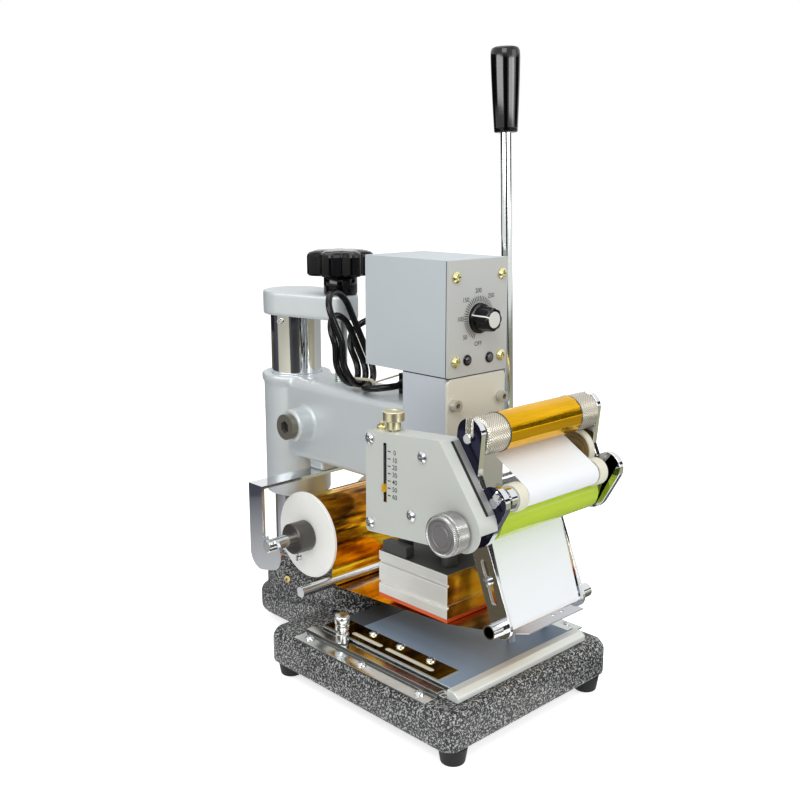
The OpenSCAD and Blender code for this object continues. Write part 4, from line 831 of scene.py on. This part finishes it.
# %% Dial knob
POINTER_TURN, LINE_HALF = 108, 0.55
to_front = Matrix.Translation(mm(dial_x, panel_y - SINK, dial_z)) @ stand_front
knob_l = panel_y - SINK - corners("dial_knob")[0][1]
skirt = turned([(0, 0), (12.9, 0), (13, 0.5), (12.6, 2.2), (11.4, 3), (0, 3)], "Z", steps=64)
taper = [(2.6, 1.0), (6, 0.98), (knob_l - 1.6, 0.9), (knob_l - 0.5, 0.86), (knob_l - 0.2, 0.8)]
dial_body = together(skirt, fluted(10.9, 0.9, 8, taper, 1.6))
piece("dial_knob_body", put(dial_body, to_front), gloss_black, "dial", ["dial_knob"], sharp=40)
spun_metal = finish("spun_metal", (226, 228, 226), 0.3, 0.35, tint=0.05)
cap_disc = turned([(0, 0), (6.6, 0), (6.8, -0.15), (6.8, -0.4)], "Z", (0, 0, knob_l))
piece("dial_cap", put(cap_disc, to_front), spun_metal, "dial")
pointer_white = finish("pointer_white", (244, 243, 240), 0.4, tint=0.03, bump=0.02)
line_runs = ((6.4, 9.4, knob_l - 0.9, knob_l - 0.1), (9.2, 10.9, 2.9, knob_l - 0.6), (10.6, 12.4, 2.2, 3.1))
line = [plate((inner, -LINE_HALF, low), (outer, LINE_HALF, high), 0.1)
        for inner, outer, low, high in line_runs]
point_at = Matrix.Rotation(radians(-90 - POINTER_TURN), 4, "Z")
piece("dial_pointer_line", put(together(*line), to_front @ point_at), pointer_white, "dial")
print("dial length", round(knob_l, 2))

# %% Lamps
lamp_glass = finish("lamp_glass", (34, 38, 44), 0.08, tint=0.2, patch=100, bump=0.02, coat_weight=0.5)
lamp_grey = finish("lamp_grey", (84, 84, 86), 0.3, tint=0.2, patch=100, bump=0.05)
LAMPS = ((-13.5, 310, lamp_glass), (14, 309.5, lamp_grey))
ring_profile = [(3.2, 0), (4.6, 0), (4.7, -0.6), (4.2, -1.3), (3.5, -1.4), (3.2, -0.8)]
dome_profile = [(3.45, -0.3), (3.3, -1.1), (2.7, -1.7), (1.5, -1.95), (0, -2)]
for number, (x, z, look) in enumerate(LAMPS):
    ring = turned(ring_profile, "Y", (x, panel_y, z), 32)
    piece(f"lamp_ring_{number}", ring, gloss_black, "arm")
    dome = turned(dome_profile, "Y", (x, panel_y, z), 32)
    piece(f"lamp_dome_{number}", dome, look, "arm", ["pilot_lamps"])
print("lamps:", len(LAMPS))

# %% [markdown]
# ## Feed casing
# A bent sheet cover on the left of the foil feed. A brass pointer runs in its slot beside a 0 to 60 scale, a
# brass thumb screw on top sets the length of feed, and the knurled hand knob turns the drive roller. The
# inside of the cover and its slot lie in shade, so faces that look inwards get black painted shade by a rule.
# Screw and knob are turned parts, and a lathe profile gives all their steps and grooves in one list.

# %% Casing
casing_x = corners("feed_casing")[0][0]
casing_mid = mm(*middle("feed_casing"))
feed_x, feed_y = -85.5, middle("feed_pointer")[1]


def in_the_dark(at, out):
    """Faces that look into the casing, and the walls of the pointer's slot: these get black painted shade."""
    inward = out.dot((casing_mid - at).normalized()) > 0.25
    in_slot = abs(at.y - feed_y * MM) < 2.2 * MM and abs(out.x) < 0.5 and at.x < (casing_x + 3) * MM
    return inward or in_slot


casing = softened("feed_casing", casing_grey, 0.7)
by_place(casing, [painted_shade_black], in_the_dark)
WALL_TOP, WALL_LOW = (-95.43, 262.98), (-133.2, 211.3)
wall_run = hypot(WALL_LOW[0] - WALL_TOP[0], WALL_LOW[1] - WALL_TOP[1])
wall_tilt = atan2(WALL_LOW[1] - WALL_TOP[1], WALL_LOW[0] - WALL_TOP[0])
on_wall = Matrix.Translation(mm(0, *WALL_TOP)) @ Matrix.Rotation(wall_tilt, 4, "X")
# a black strip of painted shade in the gap beside the bracket flange
GAP_LEFT, GAP_RIGHT = -84.8, -82.2
gap_shade = plate((GAP_LEFT, 1, -SINK), (GAP_RIGHT, wall_run, 0.06))
piece("casing_gap_line", put(gap_shade, on_wall), painted_shade_black, "arm")
flange = plate((GAP_RIGHT, 1, -SINK), (casing_x + 19.8, wall_run, 0.08))
flange_grey = finish("flange_grey", (148, 149, 147), 0.35, 0.1, tint=0.1, patch=40, bump=0.06)
piece("bracket_flange", put(flange, on_wall), flange_grey, "arm")
# a black sheet of painted shade inside the casing, behind the pointer's slot
SHADE_LOW, SHADE_HIGH = (-76.9, -40, 195), (-76.5, -14, 257)
piece("casing_shade_back", plate(SHADE_LOW, SHADE_HIGH), painted_shade_black, "arm")
print("sloping wall", round(wall_run, 1), "mm long")

# %% Feed scale
SCALE_TOP, SCALE_STEP, SCALE_COUNT = 245.5, 6.08, 7
TICK_BESIDE, NUMBER_BESIDE, NUMBER_DROP = 5, 11.4, 0.3
SCALE_TICK_L, SCALE_TICK_W, SCALE_NUMBER_H = 3.4, 0.9, 5.6
stand_left = Euler((radians(90), 0, radians(-90))).to_matrix().to_4x4()
scale_print = []
for number in range(SCALE_COUNT):
    z = SCALE_TOP - number * SCALE_STEP
    on_casing = Matrix.Translation(mm(casing_x - LIFT, feed_y - TICK_BESIDE, z)) @ stand_left
    scale_print.append(tick(SCALE_TICK_L, SCALE_TICK_W, on_casing))
    on_casing = Matrix.Translation(mm(casing_x - LIFT, feed_y - NUMBER_BESIDE, z - NUMBER_DROP)) @ stand_left
    scale_print.append(printed(f"scale_{number}", str(10 * number), SCALE_NUMBER_H, on_casing))
piece("scale_print", together(*scale_print), ink, "arm")
print("scale from z", SCALE_TOP, "to", round(SCALE_TOP - (SCALE_COUNT - 1) * SCALE_STEP, 1))

# %% Thumb screw and top nut
HEAD_H = 15.5
head_z = corners("feed_screw")[1][2] - HEAD_H
foot_z = corners("feed_screw")[0][2] - head_z
pale_brass = finish("pale_brass", (228, 220, 186), 0.3, 0.95, tint=0.1, patch=60, spread=0.12, bump=0.06)
thumb_profile = [(0, foot_z), (2.6, foot_z), (3, foot_z + 0.4), (3, 0), (5.6, 0.2), (6, 0.6), (6, 6.6),
                 (5.6, 7), (8.3, 7.2), (9, 7.9), (9, 14.6), (8.3, 15.4), (4.6, HEAD_H), (4.2, 15.1),
                 (0, 15.1)]
thumb = turned(thumb_profile, "Z", (feed_x, feed_y, head_z))
piece("feed_thumb_screw", thumb, pale_brass, "feed_stop_screw", ["feed_screw"])
NUT_R, NUT_H = 4.4, 4
nut_x, nut_y = feed_x - 1, feed_y + 13
nut = bmesh.new()
bmesh.ops.create_cone(nut, cap_ends=True, segments=6, radius1=NUT_R * MM, radius2=NUT_R * MM, depth=NUT_H * MM)
rounded(nut, nut.edges[:], 0.4)
put(nut, Matrix.Translation(mm(nut_x, nut_y, head_z - 0.4)))
stud = turned([(0, -0.3), (2, -0.3), (2, 6.2), (1.5, 6.8), (0, 6.8)], "Z", (nut_x, nut_y, head_z - 2), 24)
piece("casing_top_nut", together(nut, stud), yellow_zinc, "arm")
print("thumb screw's head at", round(head_z, 1))

# %% Hand knob
knob_x = corners("hand_knob")[0][0]
_, knob_y, knob_z = middle("hand_knob")
rim_profile = [(6, 18), (14.6, 18), (15.6, 17.2), (15.6, 15.4), (16.5, 14.6), (16.5, 4.8), (15.7, 3.8),
               (16.2, 3), (16.2, 1.2), (15.4, 0.3), (14.6, 0), (13.6, 0.5)]
rim = turned(rim_profile, "X", (knob_x, knob_y, knob_z), 96)
piece("hand_knob_rim", rim, knob_rim, "drive_roller", ["hand_knob"])
disc_profile = [(13.7, 0.6), (13.3, 0.3), (12.4, 0.3), (12.1, 0.9), (11.6, 0.9), (11.3, 0.3), (8.8, 0.3),
                (8.5, 0.8), (8, 0.8), (7.7, 0.3), (0, 0.3)]
disc = turned(disc_profile, "X", (knob_x, knob_y, knob_z), 96)
piece("hand_knob_face", disc, knob_face, "drive_roller")
print("hand knob's face at", round(knob_x, 1))

# %% [markdown]
# ## Brackets and rollers
# Two polished brackets carry the lime drive roller, the press roller with its cream rings, the friction
# wheel and the knurled take-up roller. The knurl is a relief in the finish, because thousands of cut diamonds
# would weigh the mesh down. Gold film lies on the take-up in flat lengthwise facets, because a few turns of
# stiff film never lie perfectly round.

# %% Brackets and plain rollers
# painted navy reflection on the outer face of the chrome left bracket
painted_navy_reflection = finish("painted_navy_reflection", (46, 45, 68), 0.16, 0.85, tint=0.2, patch=40, bump=0.05)
by_place(softened("left_bracket", chrome, 1.4, 3), [painted_navy_reflection], lambda at, out: out.x < -0.9)
softened("right_bracket", chrome, 1.4, 3)
softened("drive_sleeve", roller_lime, 0.8)
softened("press_rings", cream_rubber, 1.2, 3)
(wheel_x, _, _), (wheel_end, _, _) = corners("friction_wheel")
wheel_w = wheel_end - wheel_x
_, wheel_y, wheel_z = middle("friction_wheel")
wheel_at = (wheel_x, wheel_y, wheel_z)
tyre_profile = [(16.2, 0.4), (17.8, 0.1), (18.2, 0.6), (18.2, wheel_w - 0.6), (17.8, wheel_w - 0.1),
                (16.2, wheel_w - 0.4)]
tyre = turned(tyre_profile, "X", wheel_at, 64, closed=True)
piece("friction_tyre", tyre, cream_rubber, "friction_wheel", ["friction_wheel"])
web_profile = [(4.1, 0.2), (6.2, 0.2), (6.4, 0.8), (7, 0.8), (7.2, 0.3), (10.8, 0.4), (11.1, 0.9),
               (11.6, 0.9), (11.9, 0.4), (14.2, 0.4), (14.5, 0.9), (16.2, 0.9), (16.2, wheel_w - 0.9),
               (4.1, wheel_w - 0.3)]
web = turned(web_profile, "X", wheel_at, 64, closed=True)
piece("friction_disc", web, wheel_brown, "friction_wheel")
print("friction wheel at", round(wheel_y, 1), round(wheel_z, 1))

# %% Take-up roller
TAKE_HALF = 69.3
(take_left, _, _), (take_right, _, _) = corners("takeup_roller")
_, take_y, take_z = middle("takeup_film")
film_half = corners("takeup_film")[1][0]
take_at = (0, take_y, take_z)
end_l = TAKE_HALF - film_half - 0.5
end_profile = [(4, 0), (12, 0), (14.2, 0.4), (15.5, 2.2), (15.5, end_l), (13, end_l)]
ends = [turned([(r, side * (TAKE_HALF - a)) for r, a in end_profile], "X", take_at, 96, closed=True)
        for side in (-1, 1)]
piece("takeup_ends", together(*ends), knurled_champagne, "takeup")
# dark rings of painted shade in the gaps between the film and the knurled ends
rims = [turned([(13, a), (15.9, a), (15.9, a + 1), (13, a + 1)], "X", take_at, 64, closed=True)
        for a in (film_half + 0.1, -film_half - 1.1)]
piece("takeup_gap_shade_rims", together(*rims), dark_steel_and_shade, "takeup")
journal = turned([(0, take_left), (3.6, take_left), (4, take_left + 0.5), (4, take_right - 0.5),
                  (3.6, take_right), (0, take_right)], "X", take_at, 32)
piece("takeup_journal", journal, bright_steel, "takeup", ["takeup_roller"])
print("take-up at", round(take_y, 1), round(take_z, 1))

# %% Film on the take-up
FACETS, FILM_R, UNEVEN = 13, 16.35, 0.03


def along_x(bm):
    """The edges of a bmesh that run along X."""
    return [e for e in bm.edges if abs(e.verts[0].co.x - e.verts[1].co.x) > 0.01]


film = bmesh.new()
bmesh.ops.create_circle(film, cap_ends=True, segments=FACETS, radius=FILM_R * MM)
for number, vert in enumerate(film.verts):
    vert.co *= 1 - UNEVEN * (number * 7 % 5) / 4
face_right = Euler((radians(90), 0, radians(90))).to_matrix().to_4x4()
put(film, Matrix.Translation(mm(-film_half, take_y, take_z)) @ face_right)
grown = bmesh.ops.extrude_face_region(film, geom=film.faces[:])["geom"]
bmesh.ops.translate(film, verts=only(BMVert, grown), vec=mm(2 * film_half, 0, 0))
bmesh.ops.recalc_face_normals(film, faces=film.faces)
rounded(film, along_x(film), 1.1)
bmesh.ops.subdivide_edges(film, edges=along_x(film), cuts=18)
piece("takeup_gold", film, film_amber, "takeup", ["takeup_film"], sharp=50)
print("take-up film half width", round(film_half, 1))

# %% [markdown]
# ## The foil web
# Foil leaves the roll, runs under a rod and the hot plate to the front tube, and goes back up behind the lime
# roller to the take-up. A bent plane would drift off the rollers, so the path is the belt line round a row of
# wheels, and an edge extruded along it makes the sheet. Gold runs to the tube, plain white carrier after it.
# The white carrier rides on the arm; the gold stretches ride on no body.

# %% Belt line round the wheels
FOIL_T = 0.2
axle = middle("foil_roll")[1:]
pad_low, pad_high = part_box("silicone_pad")
ROLL, ROD, TUBE = (axle, 37.45, 1), ((91.5, 84), 5.2, -1), ((-119.5, 107.5), 6.2, -1)
PLATE_EDGE = ((pad_low.y / MM, pad_low.z / MM), 0.45, -1)
DRIVE, PRESS = (middle("drive_sleeve")[1:], 16.45, 1), (middle("press_rings")[1:], 10.05, -1)
WHEELS = [ROLL, ROD, PLATE_EDGE, TUBE, DRIVE, PRESS, ((take_y, take_z), 16.85, 1)]


def leaving(a, b):
    """Angle of the shared normal where the web passes from one wheel to the next."""
    away = (b[0][0] - a[0][0], b[0][1] - a[0][1])
    return atan2(away[1], away[0]) - acos((a[1] * a[2] - b[1] * b[2]) / hypot(*away))


def round_wheel(wheel, start, end, steps):
    """Points of the web round one wheel between two angles."""
    (y, z), radius, sense = wheel
    turn = (end - start) % (2 * pi) if sense > 0 else -((start - end) % (2 * pi))
    angles = [start + turn * i / steps for i in range(steps + 1)]
    return [(y + radius * sense * cos(a), z + radius * sense * sin(a)) for a in angles]


turns = [leaving(a, b) for a, b in zip(WHEELS, WHEELS[1:])]
arcs = [round_wheel(WHEELS[0], turns[0] - radians(8), turns[0], 2)]
arcs += [round_wheel(WHEELS[i], turns[i - 1], turns[i], 8) for i in range(1, len(WHEELS) - 1)]
arcs.append(round_wheel(WHEELS[-1], turns[-1], turns[-1] + radians(8), 2))
print("web passes", len(arcs), "wheels")

# %% Sheets of foil
def run_to(number, count):
    """Points along the straight run that ends at one of the arcs."""
    start, end = arcs[number - 1][-1], arcs[number][0]
    return [tuple(a + (b - a) * i / count for a, b in zip(start, end)) for i in range(1, count)]


def foil(name, path, look, half):
    """An edge across the web, extruded along its path and given its thickness."""
    bm = bmesh.new()
    ends = [bm.verts.new(mm(x, *path[0])) for x in (-half, half)]
    front = [bm.edges.new(ends)]
    for here, there in zip(path, path[1:]):
        grown = bmesh.ops.extrude_edge_only(bm, edges=front)["geom"]
        step = mm(0, there[0] - here[0], there[1] - here[1])
        bmesh.ops.translate(bm, verts=only(BMVert, grown), vec=step)
        front = only(BMEdge, grown)
    bmesh.ops.subdivide_edges(bm, edges=along_x(bm), cuts=8, use_grid_fill=True)
    bmesh.ops.recalc_face_normals(bm, faces=bm.faces)
    bmesh.ops.solidify(bm, geom=bm.faces[:], thickness=FOIL_T * MM)
    made = piece(name, bm, look, None)
    length = sum(hypot(b[0] - a[0], b[1] - a[1]) for a, b in zip(path, path[1:]))
    return made, (2 * half * MM, length * MM)


foil_half = corners("foil_web")[1][0]
rear_path = arcs[0] + run_to(1, 6) + arcs[1] + run_to(2, 24) + arcs[2][:5]
front_path = arcs[2][4:] + run_to(3, 16) + arcs[3][:5]
white_path = arcs[3][4:]
for number in range(4, len(arcs)):
    white_path += run_to(number, 8) + arcs[number]
gold_rear, rear_flat = foil("foil_under_plate", rear_path, foil_gold, foil_half)
gold_front, front_flat = foil("foil_to_tube", front_path, foil_gold, foil_half)
white_strip, white_flat = foil("carrier_strip", white_path, glowing_carrier_white, foil_half)
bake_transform(gold_rear)
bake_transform(gold_front)
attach(white_strip, "arm")
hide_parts("foil_web")
print("foil lengths", [round(flat[1], 3) for flat in (rear_flat, front_flat, white_flat)])

# %% [markdown]
# ## Foil supply
# The gold roll sits between white discs on an axle that drops into the yoke's notches. A dark collar with a
# small thumb screw holds each disc. All are round, so each is a profile spun on the axle's line.

# %% Roll, discs and collars
BORE_R, COLLAR_X = 6.1, 67
softened("supply_flanges", glowing_flange_white, 0.5)
(_, _, roll_foot), (roll_half, _, roll_top) = corners("foil_roll")
roll_r = (roll_top - roll_foot) / 2
on_axle = (0, *axle)
roll = turned([(BORE_R, -roll_half), (roll_r - 0.4, -roll_half), (roll_r, -roll_half + 0.5),
               (roll_r, roll_half - 0.5), (roll_r - 0.4, roll_half), (BORE_R, roll_half)], "X", on_axle, 128)
piece("gold_roll", roll, foil_gold, "supply", ["foil_roll"])
end = corners("supply_axle")[1][0]
bar = turned([(0, -end), (5.4, -end), (6, -end + 0.6), (6, end - 0.6), (5.4, end), (0, end)], "X", on_axle)
piece("axle_bar", bar, bright_steel, "supply", ["supply_axle"])
collar_profile = [(BORE_R, 0), (14, 0), (15, 1), (15, 17.6), (14.6, 18.2), (BORE_R, 18.2)]
collars = [turned([(r, side * a) for r, a in collar_profile], "X", (-side * COLLAR_X, *axle), 64, closed=True)
           for side in (1, -1)]
piece("axle_collars", together(*collars), dark_steel_and_shade, "supply")
screw_profile = [(0, -22.5), (2.6, -22.5), (3, -22), (3, -19), (2.6, -18.6), (1.6, -18.4), (1.6, -14.6)]
screw = turned(screw_profile, "Z", (-58, *axle), 24)
wing = plate((-61.6, axle[0] - 0.8, axle[1] - 23.6), (-54.4, axle[0] + 0.8, axle[1] - 20.4), 0.7)
piece("collar_thumb_screw", together(screw, wing), zinc, "supply")
print("roll radius", round(roll_r, 1))

# %% [markdown]
# ## Lever grip and star knob
# Both are moulded in gloss black. The grip is round all the way, so its profile is spun and then laid on the
# lever's own leaning line. A lathe can't make lobes, so the star knob is a seven-lobed outline, extruded in
# steps that round it over.

# %% Grip and star
LEVER_FOOT, LEVER_LEAN, LEVER_L, GRIP_L = mm(90, -4.5, 230), radians(2.2), 341, 73
leaning = Matrix.Translation(LEVER_FOOT) @ Matrix.Rotation(-LEVER_LEAN, 4, "X")
on_lever = leaning @ Matrix.Translation(mm(0, 0, LEVER_L - GRIP_L))
grip_profile = [(5, 0.4), (9.6, 0), (10.5, 0.8), (10.8, 4), (11.8, 24), (12.7, 46), (13.1, 60), (13.2, 66),
                (12.9, 69.6), (12, 72), (10.6, 72.9), (8, GRIP_L), (0, GRIP_L)]
grip = put(turned(grip_profile, "Z", steps=64), on_lever)
piece("lever_grip_moulded", grip, grip_black, "lever", ["lever_grip"], sharp=50)
star_x, star_y, _ = middle("star_knob")
star_z = corners("star_knob")[0][2]
star_steps = [(18, 0.93), (18.6, 0.97), (20, 1.0), (36, 1.0), (38.4, 0.975), (40, 0.92), (41.2, 0.8),
              (41.9, 0.55), (42, 0.2)]
lobes = fluted(32, 6.5, 7, star_steps, 1.7, 16)
hub = turned([(6.1, 0), (15.4, 0), (16, 0.8), (16, 17), (15, 18.2), (6.1, 18.2)], "Z", steps=64)
star = put(together(lobes, hub), Matrix.Translation(mm(star_x, star_y, star_z)))
piece("star_knob_moulded", star, gloss_black, "height_adjuster", ["star_knob"], sharp=45)
print("star knob at", round(star_x, 1), round(star_y, 1))

# %% [markdown]
# ## Floor and light
# A white sweep and soft boxes, as in a product photograph. The world shows white to the camera and to
# reflections and gives a gentle level of light everywhere. Three soft boxes shape the object, and two strips
# put long highlights on round metal. Polished metal shows its surroundings, so cards that the camera can't
# see lie on the floor round the machine and stand in a wide ring, and the metal mirrors them as bands.

# %% World and floor
def seen_straight(tree):
    """1 for what the camera, mirrors and glass see, 0 for light that spreads."""
    rays = add(tree, "ShaderNodeLightPath").outputs
    mirrored = calc(tree, "MAXIMUM", rays["Is Camera Ray"], rays["Is Glossy Ray"])
    return calc(tree, "MAXIMUM", mirrored, rays["Is Transmission Ray"])


world = bpy.data.worlds.new("studio")
scene.world = world
world.use_nodes = True
sky = world.node_tree
sky.nodes.clear()
soft = add(sky, "ShaderNodeBackground", {"Color": WHITE, "Strength": 0.5}).outputs[0]
white = add(sky, "ShaderNodeBackground", {"Color": WHITE, "Strength": 1}).outputs[0]
mixed = add(sky, "ShaderNodeMixShader", {0: seen_straight(sky), 1: soft, 2: white}).outputs[0]
add(sky, "ShaderNodeOutputWorld", {"Surface": mixed})

floor_white = finish("floor_white", (250, 250, 250), 0.9, tint=0.01, patch=2, bump=0.01, emission_color=WHITE)
tree = floor_white.node_tree
glow = calc(tree, "MULTIPLY", seen_straight(tree), 0.68)
tree.links.new(glow, tree.nodes["Principled BSDF"].inputs["Emission Strength"])
ground = bmesh.new()
bmesh.ops.create_grid(ground, x_segments=2, y_segments=2, size=6)
bmesh.ops.translate(ground, verts=ground.verts, vec=mm(0, 0, -0.05))
piece("floor", ground, floor_white, None)
print("world and floor ready")

# %% Soft boxes and strips
def soft_box(name, place, aim, size, power):
    """An area light turned to face a point."""
    lamp = bpy.data.lights.new(name, "AREA")
    lamp.shape, lamp.size, lamp.size_y, lamp.energy = "RECTANGLE", size[0], size[1], power
    made = bpy.data.objects.new(name, lamp)
    made.location = place
    made.rotation_euler = (Vector(aim) - Vector(place)).to_track_quat("-Z", "Y").to_euler()
    scene.collection.objects.link(made)
    return made


MACHINE = (0, 0, 0.2)
soft_box("key", (-1.1, -0.7, 1.5), MACHINE, (1.0, 1.0), 13)
soft_box("fill", (0.7, -1.5, 0.9), MACHINE, (1.0, 1.0), 6)
soft_box("top", (0.1, 0.3, 1.9), MACHINE, (1.2, 1.2), 9)
RING = 2.2
for name, azimuth, width, power in (("strip_left", 174, 2.2, 22), ("strip_right", 272, 1.8, 18)):
    a = radians(azimuth)
    strip = soft_box(name, (RING * cos(a), RING * sin(a), 0.75), (0, 0, 0.6), (width, 0.44), power)
    strip.visible_diffuse = False
print("lights:", len(bpy.data.lights))

# %% Cards for reflections
def card(name, colour, start, end, inner, outer, fades_to=None):
    """A card swept between two azimuths and two (radius, height) edges, seen by reflections only."""
    bm = bmesh.new()
    a = radians(start)
    ends = [bm.verts.new((r * cos(a), r * sin(a), z)) for r, z in (inner, outer)]
    edge = bm.edges.new(ends)
    swing = radians(end - start)
    bmesh.ops.spin(bm, geom=ends + [edge], cent=(0, 0, 0), axis=(0, 0, 1), angle=swing, steps=12)
    look = finish(name, colour, 0.9, bump=0.0)
    if fades_to:
        tree = look.node_tree
        away = add(tree, "ShaderNodeVectorMath", {0: spot(tree)}, operation="LENGTH").outputs["Value"]
        fade = ramp(tree, span(tree, away, inner[0], outer[0], 0, 1), (0, colour), (1, fades_to))
        tree.links.new(fade, tree.nodes["Principled BSDF"].inputs["Base Color"])
    made = piece(name, bm, look, None)
    made.visible_camera = made.visible_diffuse = made.visible_shadow = False


BLACK, COAL, NAVY, SLATE, CREAM = (10, 10, 13), (16, 16, 20), (38, 40, 58), (92, 94, 98), (232, 228, 206)
LOW, FAR = 0.0004, 5
for name, colour, start, end, near, far in (
        ("card_behind_camera", BLACK, 196, 260, 0.42, FAR), ("card_left", CREAM, 160, 196, 0.6, FAR),
        ("card_left_far", CREAM, 136, 160, 1.28, FAR), ("card_bracket", NAVY, 142, 160, 0.6, 1.28),
        ("card_guide_arm", (70, 60, 32), 142, 184, 0.15, 0.6), ("card_back_left", NAVY, 100, 142, 0.7, 1.28),
        ("card_back_left_far", NAVY, 100, 136, 1.28, FAR), ("card_back", (96, 94, 70), 50, 100, 0.6, FAR),
        ("card_front_right", (172, 169, 138), 260, 330, 0.45, FAR),
        ("card_right", (206, 206, 204), 330, 410, 0.5, FAR), ("card_right_near", SLATE, 292, 420, 0.16, 0.45),
        ("card_back_near", SLATE, 60, 100, 0.25, 0.6)):
    card(name, colour, start, end, (near, LOW), (far, LOW))
card("card_yoke", (236, 236, 236), 100, 142, (0.26, LOW), (0.7, LOW), (92, 92, 100))
card("card_camera", BLACK, 206, 239, (2.1, 0.02), (2.1, 1.0))
for name, colour, start, end, low, high in (
        ("card_grip_left", BLACK, 112, 141, 0.5, 0.95), ("card_grip_right", BLACK, 302, 350, 0.5, 0.95),
        ("card_edge", BLACK, 66, 112, 0.02, 0.95), ("card_back_low", COAL, 46, 62, 0.02, 0.34),
        ("card_back_high", COAL, 47, 57, 0.85, 1.3)):
    card(name, colour, start, end, (RING, low), (RING, high))
